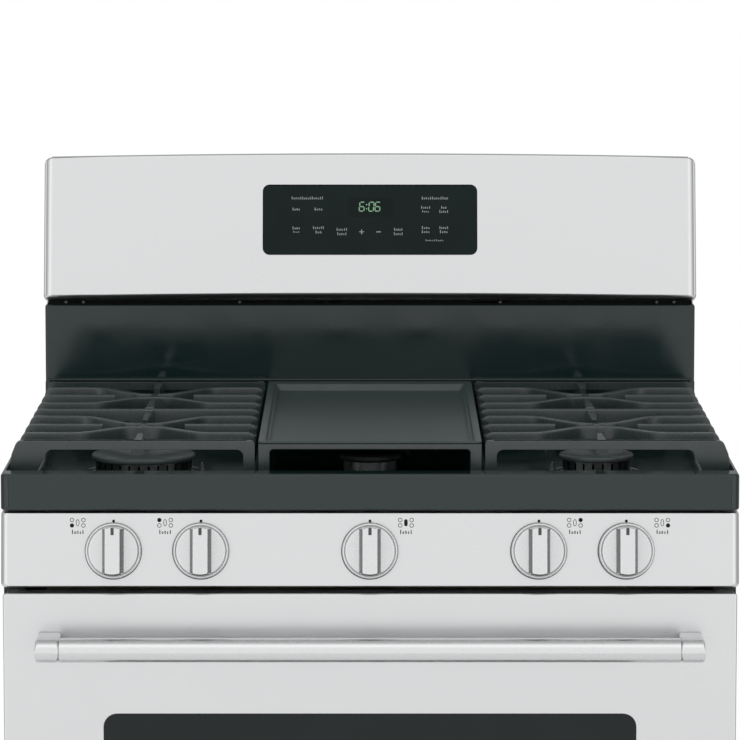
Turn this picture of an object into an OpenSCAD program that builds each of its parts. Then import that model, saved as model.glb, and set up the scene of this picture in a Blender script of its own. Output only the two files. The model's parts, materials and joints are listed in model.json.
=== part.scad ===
// Freestanding gas range, 30 inch class, with a backguard, five burners, a griddle and a storage drawer.
// X runs to the right, +Y to the rear, Z up. Lengths along the depth are given behind the front lip's face.

/* [Body] */
// Width of the case, cooktop and control panel
body_w = 761; // [620:1:920]
// Depth of the cooktop from its lip to the riser
cooktop_d = 578; // [570:1:700]
// Height of the cooktop's lip above the floor
cooktop_h = 918; // [900:1:1110]
// Height of the underside above the floor
foot_h = 25; // [18:1:40]
// Thickness of the sheet metal
sheet = 1.5; // [1:0.1:2]

/* [Cooktop] */
// Height of the front lip's face
lip_h = 41; // [34:1:50]
// Depth of the burner well under the lip
well_drop = 26; // [20:1:32]
// Flat shelf behind the lip's face
lip_shelf = 28; // [22:1:34]
// Length of the slope from the shelf into the well
well_slope = 24; // [18:1:28]
// Width of the rim at each side
side_rim = 4; // [3:0.5:6]
// Radius of the lip's front corners
corner_r = 8; // [5:1:12]
// Height of the rear upstand above the lip
upstand_h = 27; // [20:1:34]

/* [Grates] */
// Height of the grates' top above the lip
grate_rise = 26; // [22:1:32]
// Depth of each grate
grate_d = 504; // [484:1:508]
// Distance from the lip's face to the grates' front
grate_inset = 60; // [56:1:68]
// Width of the centre grate
center_w = 233; // [200:1:270]
// Gap between neighbouring grates
grate_gap = 4; // [3:0.5:6]
// Width of a grate bar
bar_w = 10.5; // [8:0.5:13]
// Height of a grate bar
bar_h = 13; // [10:0.5:15]
// Depth of the griddle's pan
griddle_pan = 8; // [6:0.5:10]
// Depth of the griddle's flat ledge at the rear
griddle_ledge = 26; // [12:1:40]

/* [Burners] */
// Distance of the side burners from the middle
burner_x = 242; // [220:1:250]
// Front burners' distance behind the grates' front
front_burner = 128; // [118:1:140]
// Rear burners' distance behind the grates' front
rear_burner = 376; // [366:1:388]
// Diameter of the left front burner's cap
cap_lf_d = 111; // [90:1:116]
// Diameter of the right front burner's cap
cap_rf_d = 80; // [66:1:96]
// Diameter of the left rear burner's cap
cap_lr_d = 58; // [48:1:72]
// Diameter of the right rear burner's cap
cap_rr_d = 74; // [60:1:90]
// Width of the centre burner's oval cap
oval_w = 66; // [54:1:80]
// Length of the centre burner's oval cap
oval_l = 250; // [200:1:290]
// Thickness of the burner caps
cap_t = 7; // [5:0.5:9]
// Height of the burner heads above the well
head_h = 16; // [10:0.5:17]
// Height of the oval burner's head above the well
oval_head_h = 12; // [10:0.5:13]

/* [Control panel] */
// Height of the control panel
panel_h = 75.5; // [66:0.5:90]
// Slope of the control panel's face
panel_tilt = 8; // [0:1:14]
// Distance of the outer knobs from the middle
knob_x_outer = 264; // [240:1:290]
// Distance of the inner knobs from the middle
knob_x_inner = 174; // [150:1:190]
// Diameter of a knob's skirt
knob_d = 57.4; // [46:0.2:66]
// Diameter of a knob's face
knob_face_d = 51.6; // [42:0.2:58]
// Width of a knob's grip
grip_w = 16.4; // [12:0.2:20]
// Height of a knob's grip above its face
grip_h = 16; // [12:0.5:20]
// Diameter of a valve stem
stem_d = 8; // [6:0.5:10]
// Travel of a knob when pushed in
push_travel = 3; // [2:0.5:3]

/* [Backguard] */
// Height of the riser's top above the lip
riser_h = 113; // [90:1:130]
// Height of the vent gap over the riser
vent_gap = 10; // [8:1:14]
// Height of the fascia above the vent gap
guard_h = 163; // [140:1:200]
// Depth of the backguard behind the riser's face
guard_d = 80; // [72:1:100]
// Width of the backguard
guard_w = 750; // [600:1:900]
// Lean of the fascia
fascia_lean = 13; // [8:1:15]
// Overhang of the fascia in front of the riser
fascia_over = 16; // [10:1:20]
// Rise of the fascia's arched top edge
crown = 4; // [2:0.5:6]
// Width of the display glass
display_w = 245; // [200:1:290]
// Height of the display glass along the slope
display_h = 80; // [60:1:90]

/* [Oven] */
// Width of the oven cavity
cavity_w = 610; // [500:1:640]
// Depth of the oven cavity
cavity_d = 490; // [470:1:496]
// Height of the oven mouth's lower edge above the floor
mouth_z = 275; // [270:1:290]
// Depth of the oven cavity's ceiling below the cooktop
ceiling_drop = 183; // [173:1:220]
// Spacing of the rack guides
guide_pitch = 70; // [60:1:80]
// Thickness of the insulation
blanket_t = 38; // [25:1:40]
// Diameter of the rack's frame wire
wire_d = 6; // [5:0.5:7]
// Diameter of the rack's cross wires
thin_wire_d = 4; // [3:0.5:5]

/* [Door and drawer] */
// Height of the door's lower edge above the floor
door_z = 210; // [205:1:220]
// Gap between the door and the control panel
door_gap = 6; // [4:0.5:10]
// Thickness of the door's outer shell
door_t = 24; // [20:1:28]
// Reach of the handle in front of the lip
handle_reach = 62; // [52:1:70]
// Diameter of the handle bar
handle_d = 25; // [20:1:30]
// Height of the drawer front
drawer_h = 155; // [120:1:158]
// Depth of the drawer's tub
tub_d = 530; // [400:1:540]
// Diameter of a hinge pin
hinge_pin_d = 8; // [6:0.5:10]

/* [Fits] */
// Radial clearance of a running fit
run_fit = 0.05; // [0.02:0.01:0.1]
// Clearance between loose pieces
loose_fit = 0.3; // [0.3:0.1:1]

/* [Hidden] */
$fn = 48;

// Overall depth, from the handle's front to the backguard's rear, is centred on the origin.
body_d = cooktop_d + guard_d;
lip_y = (handle_reach - body_d) / 2;
half_w = body_w / 2;
inner_w = half_w - sheet;
lip_z = cooktop_h - lip_h;
well_z = cooktop_h - well_drop;
front_frame = 36;
guard_z = cooktop_h + riser_h;
fascia_z = guard_z + vent_gap;
fascia_h = guard_h / cos(fascia_lean);
fascia_y = cooktop_d - fascia_over;
riser_half = guard_w / 2 - 1;
fascia_return = 30;
panel_z = lip_z - panel_h;
panel_set = 2;
panel_foot = panel_set - panel_h * tan(panel_tilt);
knob_drop = 38;
knob_y = panel_set - knob_drop * tan(panel_tilt);
knob_z = lip_z - knob_drop;
rear_y = body_d - 18;
post_w = 20;

// Oven
liner_w = cavity_w / 2 + sheet;
ceiling_z = cooktop_h - ceiling_drop;
cavity_floor = mouth_z - 35;
oven_floor_z = mouth_z + 10;
liner_back = front_frame + sheet + cavity_d;
guide_d = 8;
guide_h = 6;
first_guide = oven_floor_z + 45;
function guide_z(level) = first_guide + level * guide_pitch;
rack_low_z = guide_z(1) + guide_h + loose_fit + wire_d / 2;
rack_high_z = guide_z(3) + guide_h + loose_fit + wire_d / 2;
rack_w = cavity_w / 2 - guide_d / 2 - wire_d / 2 + 1;
rack_front = front_frame + 28;
rack_back = liner_back - 22;
gasket_t = 5.7;

// Door
door_top = panel_z - door_gap;
door_half = half_w - 2.5;
door_front = -12;
skin_back = door_front + door_t;
door_back = front_frame - gasket_t - loose_fit;
pivot_y = 4;
pivot_z = door_z + 20;
liner_foot = pivot_z + 10;
hinge_x = cavity_w / 2 + 30;
hinge_eye_r = hinge_pin_d / 2 + 5;
hinge_eye_w = 10;
ear_w = 3;
ear_gap = loose_fit;
window_w = 550;
window_h = 280;
window_z = liner_foot + 150;
handle_z = door_top - 52;
handle_half = 318;
handle_end_w = 24;

// Drawer
drawer_z = door_z - 7 - drawer_h;
tub_half = 335;
tub_z = drawer_z + 14;
tub_top = drawer_z + drawer_h - 18;
runner_drop = 20;

// Grates and burners
grate_z = cooktop_h + grate_rise;
side_grate_in = center_w / 2 + grate_gap;
side_grate_out = half_w - side_rim - 6.5;
foot_out = half_w - side_rim - 2;
front_v = grate_inset + front_burner;
rear_v = grate_inset + rear_burner;
cap_z = well_z + head_h;
griddle_rim = 3;
frame_top = grate_z - griddle_rim;

// Levelling legs
leg_x = half_w - 35;
leg_front = front_frame + 30;
leg_back = rear_y - 40;
leg_rod_r = 5;
leg_pad_r = 16;
leg_pad_h = 8;

// One entry a burner: its knob's place, the burner's place and its cap's diameter.
burner_left_front = [-knob_x_outer, -burner_x, front_v, cap_lf_d];
burner_left_rear = [-knob_x_inner, -burner_x, rear_v, cap_lr_d];
burner_right_rear = [knob_x_inner, burner_x, rear_v, cap_rr_d];
burner_right_front = [knob_x_outer, burner_x, front_v, cap_rf_d];
round_burners = [burner_left_front, burner_left_rear, burner_right_rear, burner_right_front];
center_v = grate_inset + grate_d / 2;
knob_places = [-knob_x_outer, -knob_x_inner, 0, knob_x_inner, knob_x_outer];

// ---- helpers ----

// Moves what follows from depths behind the lip's face into the range's own frame.
module from_lip() {
    translate([0, lip_y, 0]) children();
}

// A box from its lowest to its highest corner.
module block(low, high) {
    translate(low) cube(high - low);
}

// The same shape at the left and at the right.
module both_sides() {
    children();
    mirror([1, 0, 0]) children();
}

// A flat outline, drawn in X and Z, made solid from depth y over the length t.
module upright(y, t) {
    translate([0, y + t, 0]) rotate([90, 0, 0]) linear_extrude(t) children();
}

// A profile, drawn in Y and Z, run along X between two places.
module along_x(x0, x1) {
    translate([x0, 0, 0]) rotate([90, 0, 90]) linear_extrude(x1 - x0) children();
}

// A rectangle with round corners, from its lowest to its highest corner.
module round_rect(low, high, r) {
    translate([low[0] + r, low[1]]) square([high[0] - low[0] - 2 * r, high[1] - low[1]]);
    translate([low[0], low[1] + r]) square([high[0] - low[0], high[1] - low[1] - 2 * r]);
    for (x = [low[0] + r, high[0] - r], y = [low[1] + r, high[1] - r])
        translate([x, y]) circle(r);
}

// A round rod through a list of points, with ball corners that may be larger than the rod.
module rod(points, r, ball = 1) {
    for (i = [0 : len(points) - 2]) {
        a = points[i];
        d = points[i + 1] - a;
        run = norm(d);
        translate(a)
            rotate([0, acos(d[2] / run), atan2(d[1], d[0])])
                cylinder(r = r, h = run);
    }
    if (len(points) > 2)
        for (i = [1 : len(points) - 2]) translate(points[i]) sphere(r = r * ball);
}

// The direction of a path from point i to the next.
function heading(p, i) = (p[i + 1] - p[i]) / norm(p[i + 1] - p[i]);

// The sideways step at point i that keeps a path's strip at constant width, mitred at the corners.
function mitre(p, i) =
    let (a = heading(p, max(i - 1, 0)), b = heading(p, min(i, len(p) - 2)), across = [-a[1] - b[1], a[0] + b[0]])
    across / (1 + a * b);

// A flat strip of constant width through a list of points.
module strip(p, w) {
    last = len(p) - 1;
    polygon(concat(
        [for (i = [0 : last]) p[i] + mitre(p, i) * w / 2],
        [for (i = [last : -1 : 0]) p[i] - mitre(p, i) * w / 2]));
}

// Stands a piece on the control panel's sloping face, at a knob's axis.
module on_panel(x) {
    translate([x, knob_y, knob_z]) rotate([90 - panel_tilt, 0, 0]) children();
}

// Lays a piece in the fascia's leaning frame: x, height up the slope, depth behind the face.
module on_fascia() {
    translate([0, fascia_y, fascia_z]) rotate([90 - fascia_lean, 0, 0]) mirror([0, 0, 1]) children();
}

// ---- case ----

module base_frame() {
    rail = 30;
    front_rail_y = front_frame + 6;
    frame_top_z = foot_h + 18;
    rail_z = door_z - 8;
    channel = 2;
    color("dimgray") from_lip() difference() {
        union() {
            both_sides() {
                block([inner_w - rail, front_rail_y, foot_h], [inner_w, rear_y, frame_top_z]);
                block([inner_w - post_w, front_rail_y, foot_h], [inner_w, front_rail_y + 20, lip_z - 2]);
                block([inner_w - post_w, rear_y - 20, foot_h], [inner_w, rear_y, lip_z - 2]);
            }
            block([-inner_w, front_rail_y, foot_h], [inner_w, front_rail_y + 30, frame_top_z]);
            block([-inner_w, rear_y - 60, foot_h], [inner_w, rear_y, frame_top_z]);
            block([-inner_w, front_rail_y, rail_z], [inner_w, front_rail_y + 20, rail_z + 8]);
        }
        both_sides() {
            for (y = [leg_front, leg_back])
                translate([leg_x, y, foot_h - 1]) cylinder(r = leg_rod_r + run_fit, h = 30);
            block([inner_w - rail + channel, leg_front + 22, foot_h + channel],
                [inner_w + 1, leg_back - 22, frame_top_z + 1]);
            for (y = [front_rail_y + channel, rear_y - 20 + channel])
                block([inner_w - post_w + channel, y, frame_top_z],
                    [inner_w + 1, y + 20 - 2 * channel, rail_z - 4]);
            for (y = [front_rail_y + channel, rear_y - 20 + channel])
                block([inner_w - post_w + channel, y, rail_z + 12],
                    [inner_w + 1, y + 20 - 2 * channel, lip_z - 6]);
        }
        block([-inner_w + 60, front_rail_y + channel, foot_h + channel],
            [inner_w - 60, front_rail_y + 30 - channel, frame_top_z + 1]);
        block([-inner_w + 60, rear_y - 60 + channel, foot_h + channel],
            [inner_w - 60, rear_y - channel, frame_top_z + 1]);
    }
}

module side_panel() {
    fold = post_w;
    color("#2b2d2d") from_lip() {
        block([inner_w, front_frame, foot_h], [half_w, rear_y, lip_z]);
        block([inner_w - fold, front_frame, foot_h], [inner_w, front_frame + sheet, panel_z - 2]);
    }
}

module side_panel_left() mirror([1, 0, 0]) side_panel();

module side_panel_right() side_panel();

module rear_cover() {
    slot_w = 60;
    slot_h = 5;
    seam = 1;
    color("#9a9c9c") from_lip() {
        difference() {
            block([-half_w, rear_y, foot_h + 20], [split_x, rear_y + sheet, lip_z]);
            for (x = [-2 : 2], row = [0 : 5])
                block([x * 120 - slot_w / 2, rear_y - 1, lip_z - 60 - row * 16],
                    [x * 120 + slot_w / 2, rear_y + sheet + 1, lip_z - 60 - row * 16 + slot_h]);
            translate([gland_x, rear_y - 1, gland_z]) rotate([-90, 0, 0]) cylinder(r = gland_r, h = 4);
        }
        block([split_x + seam, rear_y, regulator_z + inlet_room], [half_w, rear_y + sheet, lip_z]);
    }
}

module leveling_legs() {
    color("#303030") from_lip() both_sides() for (y = [leg_front, leg_back]) translate([leg_x, y, 0]) {
        cylinder(r = leg_pad_r, h = leg_pad_h);
        cylinder(r = leg_rod_r, h = foot_h + 22);
    }
}

// ---- oven ----

module oven_liner() {
    back = liner_back + sheet;
    flange_x = liner_w + 46;
    flange_top = ceiling_z + 48;
    flange_foot = door_z + 6;
    y0 = front_frame;
    color("#1d2a3f") from_lip() difference() {
        union() {
            block([-liner_w, y0, cavity_floor - sheet], [liner_w, back, ceiling_z + sheet]);
            block([-flange_x, y0, flange_foot], [flange_x, y0 + sheet, flange_top]);
        }
        difference() {
            block([-cavity_w / 2, y0 + sheet, cavity_floor], [cavity_w / 2, liner_back, ceiling_z]);
            both_sides() for (level = [0 : 4])
                block([cavity_w / 2 - guide_d, y0 + 14, guide_z(level)],
                    [cavity_w / 2 + 1, liner_back - 12, guide_z(level) + guide_h]);
            both_sides() block([cavity_w / 2 - 12, y0 + 14, oven_floor_z - 8],
                [cavity_w / 2 + 1, liner_back - 12, oven_floor_z - 2]);
        }
        upright(y0 - 1, sheet + 2) round_rect([-cavity_w / 2, mouth_z], [cavity_w / 2, ceiling_z], 14);
        translate([-lamp_x, liner_back - 1, lamp_z]) rotate([-90, 0, 0]) cylinder(r = lamp_r + 1, h = 4);
        for (s = [-1, 1]) block([s * 60 - 30, liner_back - 60, ceiling_z - 1],
            [s * 60 + 30, liner_back - 40, ceiling_z + 3]);
    }
}

module oven_insulation() {
    y0 = front_frame + sheet;
    out = liner_w + blanket_t;
    back = liner_back + sheet;
    color("#d8cfa8") from_lip() difference() {
        block([-out, y0 + 12, cavity_floor - sheet], [out, back + blanket_t, ceiling_z + sheet + blanket_t]);
        block([-liner_w, y0, cavity_floor - 3], [liner_w, back, ceiling_z + sheet]);
        translate([-lamp_x, back - 1, lamp_z]) rotate([-90, 0, 0]) cylinder(r = lamp_r + 8, h = blanket_t + 2);
        block([-100, liner_back - 70, ceiling_z], [100, liner_back - 30, ceiling_z + blanket_t + 5]);
        both_sides() block([inner_w - 21, y0, 0], [inner_w + 5, y0 + 40, lip_z]);
    }
}

module oven_floor() {
    half = cavity_w / 2 - 1;
    color("#1d2a3f") from_lip() difference() {
        block([-half, front_frame + 16, oven_floor_z - 2], [half, liner_back - 14, oven_floor_z]);
        both_sides() for (i = [0 : 7])
            block([half - 46, front_frame + 60 + i * 50, oven_floor_z - 3],
                [half - 20, front_frame + 68 + i * 50, oven_floor_z + 1]);
        for (x = [-90, 90])
            translate([x, front_frame + 60, oven_floor_z - 3]) cylinder(r = 12, h = 4);
    }
}

module oven_burner(z, ports_down) {
    r = 11;
    start = front_frame + 90;
    stop = liner_back - 1;
    color("#8d8f90") from_lip() {
        translate([0, start, z]) rotate([-90, 0, 0]) cylinder(r = r, h = stop - start);
        for (s = [-1, 1], i = [0 : 6])
            translate([s * (r - 2), start + 40 + i * 40, z]) rotate([0, s * 90, 0]) cylinder(r = 3, h = 5);
        if (ports_down)
            block([-110, start, z + r - 1], [110, stop - 60, z + r + 1]);
        else
            block([-70, start, z + r - 1], [70, stop - 60, z + r + 1]);
    }
}

module bake_burner() oven_burner(mouth_z - 16, false);

module broil_burner() oven_burner(ceiling_z - 18, true);

lamp_x = 190;
lamp_z = ceiling_z - 90;
lamp_r = 24;

module oven_lamp() {
    color("#f4ead0") from_lip() translate([-lamp_x, liner_back + sheet + 14, lamp_z]) rotate([90, 0, 0]) {
        cylinder(r = lamp_r, h = 14);
        translate([0, 0, 14]) cylinder(r = lamp_r - 2, h = 8);
        translate([0, 0, 22]) intersection() {
            sphere(r = lamp_r - 2);
            cylinder(r = lamp_r, h = lamp_r);
        }
    }
}

module door_gasket() {
    in_x = cavity_w / 2 + 8;
    w = 9;
    color("#8b8c88") from_lip() upright(front_frame - gasket_t, gasket_t) difference() {
        round_rect([-in_x - w, mouth_z - 17], [in_x + w, ceiling_z + 17], 24);
        round_rect([-in_x, mouth_z - 8], [in_x, ceiling_z + 8], 15);
    }
}

module rack(z) {
    x = rack_w;
    r = wire_d / 2;
    thin = thin_wire_d / 2;
    count = 13;
    lift = r + thin - 1;
    stop_h = 22;
    color("#c9cccd") from_lip() {
        rod([[-x, rack_front, z], [x, rack_front, z], [x, rack_back, z], [-x, rack_back, z],
            [-x, rack_front, z], [0, rack_front, z]], r);
        for (y = [rack_front + 130, rack_back - 130])
            translate([-x, y, z]) rotate([0, 90, 0]) cylinder(r = r, h = 2 * x);
        for (i = [1 : count]) let (wx = -x + 2 * x * i / (count + 1))
            translate([wx, rack_front, z + lift]) rotate([-90, 0, 0]) cylinder(r = thin, h = rack_back - rack_front);
        rod([[-x + 12, rack_back, z + stop_h], [x - 12, rack_back, z + stop_h]], thin);
        both_sides() translate([x - 14, rack_back, z]) cylinder(r = thin, h = stop_h);
    }
}

module oven_rack_upper() rack(rack_high_z);

module oven_rack_lower() rack(rack_low_z);

// ---- cooktop ----

module cooktop() {
    in_x = half_w - side_rim;
    y_flat = lip_shelf + well_slope;
    y_back = cooktop_d - sheet;
    under = well_z - sheet;
    color("#3c4443") from_lip() difference() {
        union() {
            difference() {
                translate([0, 0, lip_z]) linear_extrude(lip_h + upstand_h) union() {
                    round_rect([-half_w, 0], [half_w, 3 * corner_r], corner_r);
                    translate([-half_w, corner_r]) square([body_w, cooktop_d - corner_r]);
                }
                block([-half_w - 1, -1, cooktop_h], [half_w + 1, y_back, cooktop_h + upstand_h + 1]);
                both_sides() block([riser_half, y_back - 1, cooktop_h],
                    [half_w + 1, cooktop_d + 1, cooktop_h + upstand_h + 1]);
            }
            for (b = round_burners)
                translate([b[1], b[2], lip_z]) cylinder(r = b[3] / 2 + 12, h = well_z - lip_z);
        }
        along_x(-in_x, in_x) polygon([
            [lip_shelf, cooktop_h + 1], [lip_shelf, cooktop_h], [y_flat, well_z],
            [y_back, well_z], [y_back, cooktop_h + 1]]);
        along_x(-half_w + sheet, half_w - sheet) polygon([
            [sheet, lip_z - 1], [sheet, cooktop_h - sheet], [lip_shelf - 1, cooktop_h - sheet],
            [y_flat - 1, under], [y_back, under], [y_back, lip_z - 1]]);
        for (b = round_burners)
            translate([b[1], b[2], lip_z - 1]) cylinder(r = throat_r + 0.5, h = lip_h + 2);
        translate([0, center_v, lip_z - 1]) cylinder(r = throat_r + 0.5, h = lip_h + 2);
    }
}

throat_r = 17;

// A round burner's head: a slotted ring on a flange, with its throat going down through the cooktop.
module round_head(d) {
    r = d / 2 - 4;
    slots = round(d / 3.6);
    difference() {
        union() {
            cylinder(r = r + 2, h = 2.5);
            cylinder(r = r, h = head_h);
            translate([0, 0, -12]) cylinder(r = throat_r, h = 13);
        }
        translate([0, 0, head_h - 8]) cylinder(r = r - 6, h = 9);
        translate([0, 0, -13]) cylinder(r = 12, h = 14 + head_h);
        for (i = [0 : slots - 1]) rotate(i * 360 / slots)
            translate([r - 8, -1.1, head_h - 9]) cube([12, 2.2, 7.5]);
    }
}

// A flat oval along the depth, of width w and length l.
module oval(w, l) {
    translate([-w / 2, -(l - w) / 2]) square([w, l - w]);
    for (s = [-1, 1]) translate([0, s * (l - w) / 2]) circle(w / 2);
}

module oval_head() {
    w = oval_w - 8;
    l = oval_l - 8;
    slots = round((oval_l - oval_w) / 8);
    difference() {
        union() {
            linear_extrude(oval_head_h) oval(w, l);
            translate([0, 0, -12]) cylinder(r = throat_r, h = 13);
        }
        translate([0, 0, oval_head_h - 8]) linear_extrude(9) oval(w - 12, l - 12);
        translate([0, 0, -13]) cylinder(r = 12, h = 14 + oval_head_h);
        for (i = [0 : slots]) let (y = -(oval_l - oval_w) / 2 + i * (oval_l - oval_w) / slots)
            translate([-oval_w, y - 1.1, oval_head_h - 7]) cube([2 * oval_w, 2.2, 5.5]);
    }
}

module burner_heads() {
    color("#b9bcbc") from_lip() {
        for (b = round_burners) translate([b[1], b[2], well_z]) round_head(b[3]);
        translate([0, center_v, well_z]) oval_head();
    }
}

module spark_electrodes() {
    reach = 7;
    color("#efece2") from_lip() {
        for (b = round_burners) let (side = b[1] > 0 ? -1 : 1)
            translate([b[1] + side * (b[3] / 2 + reach), b[2], well_z]) {
                cylinder(r = 4, h = 5);
                cylinder(r = 2.6, h = head_h);
            }
        translate([oval_w / 2 + reach, center_v, well_z]) {
            cylinder(r = 4, h = 5);
            cylinder(r = 2.6, h = oval_head_h);
        }
    }
}

module round_cap(b) {
    seat = b[3] / 2 - 11.5;
    color("#454b4a") from_lip() translate([b[1], b[2], cap_z]) {
        cylinder(r = b[3] / 2, h = cap_t - 2.5);
        translate([0, 0, cap_t - 2.5]) cylinder(r1 = b[3] / 2, r2 = b[3] / 2 - 4, h = 2.5);
        translate([0, 0, -3]) difference() {
            cylinder(r = seat, h = 3.5);
            translate([0, 0, -1]) cylinder(r = seat - 2.5, h = 5);
        }
    }
}

module cap_left_front() round_cap(burner_left_front);

module cap_left_rear() round_cap(burner_left_rear);

module cap_right_rear() round_cap(burner_right_rear);

module cap_right_front() round_cap(burner_right_front);

module cap_center() {
    color("#454b4a") from_lip() translate([0, center_v, well_z + oval_head_h]) {
        linear_extrude(cap_t - 2) oval(oval_w, oval_l);
        linear_extrude(cap_t) oval(oval_w - 8, oval_l - 8);
        translate([0, 0, -3]) linear_extrude(3.5) difference() {
            oval(oval_w - 22, oval_l - 22);
            oval(oval_w - 27, oval_l - 27);
        }
    }
}

// ---- grates ----

leg_drop = grate_z - well_z;
apron_top = 9;
apron_foot = 30;
bar_rows = [62, 130, 195, 252, 309, 374, 442];
mid_row = 252;

// The side grate seen from above, between its inner edge x0 and its outer edge x1.
module side_grate_plan(x0, x1) {
    half = bar_w / 2;
    waist = 12;
    bend = 62;
    flat = 18;
    finger = 44;
    c = -burner_x;
    translate([-x1, mid_row]) square([x1 - x0, bar_w]);
    for (b = [[front_burner, bar_rows[0], bar_rows[2]], [rear_burner, bar_rows[4], bar_rows[6]]]) {
        for (k = [1, 2]) {
            row = b[k] + half;
            near = b[0] + (k == 1 ? -waist : waist);
            strip([[-x1, row], [c - bend, row], [c - flat, near], [c + flat, near], [c + bend, row], [-x0, row]],
                bar_w);
        }
        strip([[c, b[0] - waist], [c, b[0] + waist]], bar_w);
        strip([[-x1, b[0] + half], [c - finger, b[0] + half]], bar_w);
        strip([[c + finger, b[0] + half], [-x0, b[0] + half]], bar_w);
    }
    strip([[c, 0], [c, bar_rows[0]]], bar_w);
    strip([[c, grate_d], [c, bar_rows[6] - 8]], bar_w);
    strip([[c, bar_rows[1] + 40], [c, bar_rows[5] - 40]], bar_w);
}

// The front or rear face of a side grate, with its window and its flared outer leg.
module side_apron(x0, x1) {
    difference() {
        polygon([
            [-x1, 0], [-x0, 0], [-x0 + 0.5, -leg_drop], [-x0 - 12, -leg_drop], [-foot_out + 24, -leg_drop],
            [-foot_out, -leg_drop], [-foot_out, -18]]);
        polygon([
            [-x1 + 32, -apron_top], [-x0 - 12, -apron_top], [-x0 - 12, -leg_drop - 1],
            [-foot_out + 24, -leg_drop - 1], [-foot_out + 26, -apron_foot]]);
    }
}

module side_grate() {
    x0 = side_grate_in;
    x1 = side_grate_out;
    side_h = 16;
    color("#434a49") from_lip() translate([0, grate_inset, grate_z]) {
        translate([0, 0, -bar_h]) linear_extrude(bar_h) side_grate_plan(x0, x1);
        upright(0, bar_w) side_apron(x0, x1);
        upright(grate_d - bar_w, bar_w) side_apron(x0, x1);
        block([-x1, 0, -bar_h - side_h + 4], [-x1 + 8, grate_d, -bar_h + 4]);
        block([-x0 - 8, 0, -bar_h - side_h + 4], [-x0, grate_d, -bar_h + 4]);
    }
}

module grate_left() side_grate();

module grate_right() mirror([1, 0, 0]) side_grate();

module grate_center() {
    x = center_w / 2;
    foot = 12;
    rim = griddle_rim;
    cross = [130, 252, 374];
    color("#434a49") from_lip() translate([0, grate_inset, grate_z]) {
        for (y = [0, grate_d - bar_w]) {
            block([-x, y, -apron_top - rim], [x, y + bar_w, -rim]);
            both_sides() block([x - foot, y, -leg_drop], [x, y + bar_w, -rim]);
        }
        both_sides() block([x - bar_w, 0, -bar_h - 12], [x, grate_d, -rim]);
        for (y = cross)
            block([-x, y, -bar_h - 12], [x, y + bar_w, -bar_h - 4]);
    }
}

module griddle() {
    x = center_w / 2;
    inner = x - bar_w - loose_fit;
    bottom = griddle_pan + 4;
    lip = 8;
    wall = griddle_pan / 2;
    y_in = bar_w + loose_fit;
    color("#4a5150") from_lip() translate([0, grate_inset, grate_z]) difference() {
        union() {
            block([-x, 0, -griddle_rim], [x, grate_d, 0]);
            block([-inner, y_in, -bottom], [inner, grate_d - y_in, -griddle_rim + 1]);
        }
        hull() {
            block([-x + lip, lip - 4, -0.01], [x - lip, grate_d - griddle_ledge, 1]);
            block([-x + lip + wall, lip + wall - 2, -griddle_pan],
                [x - lip - wall, grate_d - griddle_ledge - wall, -griddle_pan + 1]);
        }
    }
}

// ---- gas ----

valve_front = 22;
valve_back = 50;
manifold_run = 62;
manifold_y = knob_y + manifold_run * cos(panel_tilt);
manifold_z = knob_z - manifold_run * sin(panel_tilt);
valve_y = knob_y + 36 * cos(panel_tilt);
valve_z = knob_z - 36 * sin(panel_tilt);
outlet_z = valve_z + 17;
tube_z = min(outlet_z + 14, well_z - 22);
regulator_x = 300;
regulator_z = 120;
inlet_room = 26;
// the rear cover's large plate stops short of the gas inlet, and a narrow plate hangs above it
split_x = regulator_x - inlet_room;
gland_x = -250;
gland_z = 120;
gland_r = 11;

module gas_valves() {
    color("#b08d4a") from_lip() for (x = knob_places) difference() {
        union() {
            on_panel(x) translate([0, 0, -valve_back]) cylinder(r = 11, h = valve_back - valve_front);
            translate([x, valve_y, valve_z]) cylinder(r = 6.5, h = outlet_z - valve_z);
        }
        on_panel(x) translate([0, 0, -valve_back + 8]) cylinder(r = stem_d / 2 + run_fit, h = valve_back);
    }
}

module gas_manifold() {
    r = 11;
    out = knob_x_outer + 36;
    side_x = inner_w - 33;
    down_y = liner_back + sheet + blanket_t + 30;
    color("#8f9192") from_lip() {
        translate([-out, manifold_y, manifold_z]) rotate([0, 90, 0]) cylinder(r = r, h = 2 * out);
        for (x = knob_places)
            on_panel(x) translate([0, 0, -manifold_run]) cylinder(r = 7, h = manifold_run - valve_back);
        rod([[out - 5, manifold_y, manifold_z], [side_x, manifold_y, manifold_z], [side_x, down_y, manifold_z],
            [side_x, down_y, regulator_z], [regulator_x + 26, down_y, regulator_z]], 7);
    }
}

module burner_tubes() {
    r = 4;
    color("#c3c6c6") from_lip() {
        for (b = concat(round_burners, [[0, 0, center_v, 0]])) {
            rod([[b[0], valve_y, outlet_z], [b[0], valve_y, tube_z], [b[1], b[2], tube_z],
                [b[1], b[2], tube_z + 6]], r, 1.3);
            translate([b[1], b[2], tube_z + 5]) cylinder(r = 14, h = well_z - 12 - tube_z - 5);
        }
    }
}

module pressure_regulator() {
    down_y = liner_back + sheet + blanket_t + 30;
    mouth = rear_y - 4;
    color("#a9acad") from_lip() translate([regulator_x, 0, regulator_z]) {
        translate([0, down_y - 14, 0]) difference() {
            union() {
                rotate([-90, 0, 0]) cylinder(r = 15, h = mouth - down_y + 14);
                block([-26, 0, -14], [26, 28, 14]);
                translate([0, 14, 14]) cylinder(r = 24, h = 10);
                translate([0, 14, 24]) cylinder(r = 12, h = 16);
            }
            translate([0, mouth - down_y + 14 - 16, 0]) rotate([-90, 0, 0]) cylinder(r = inlet_r, h = 17);
        }
    }
}

inlet_r = 9.5;

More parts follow.
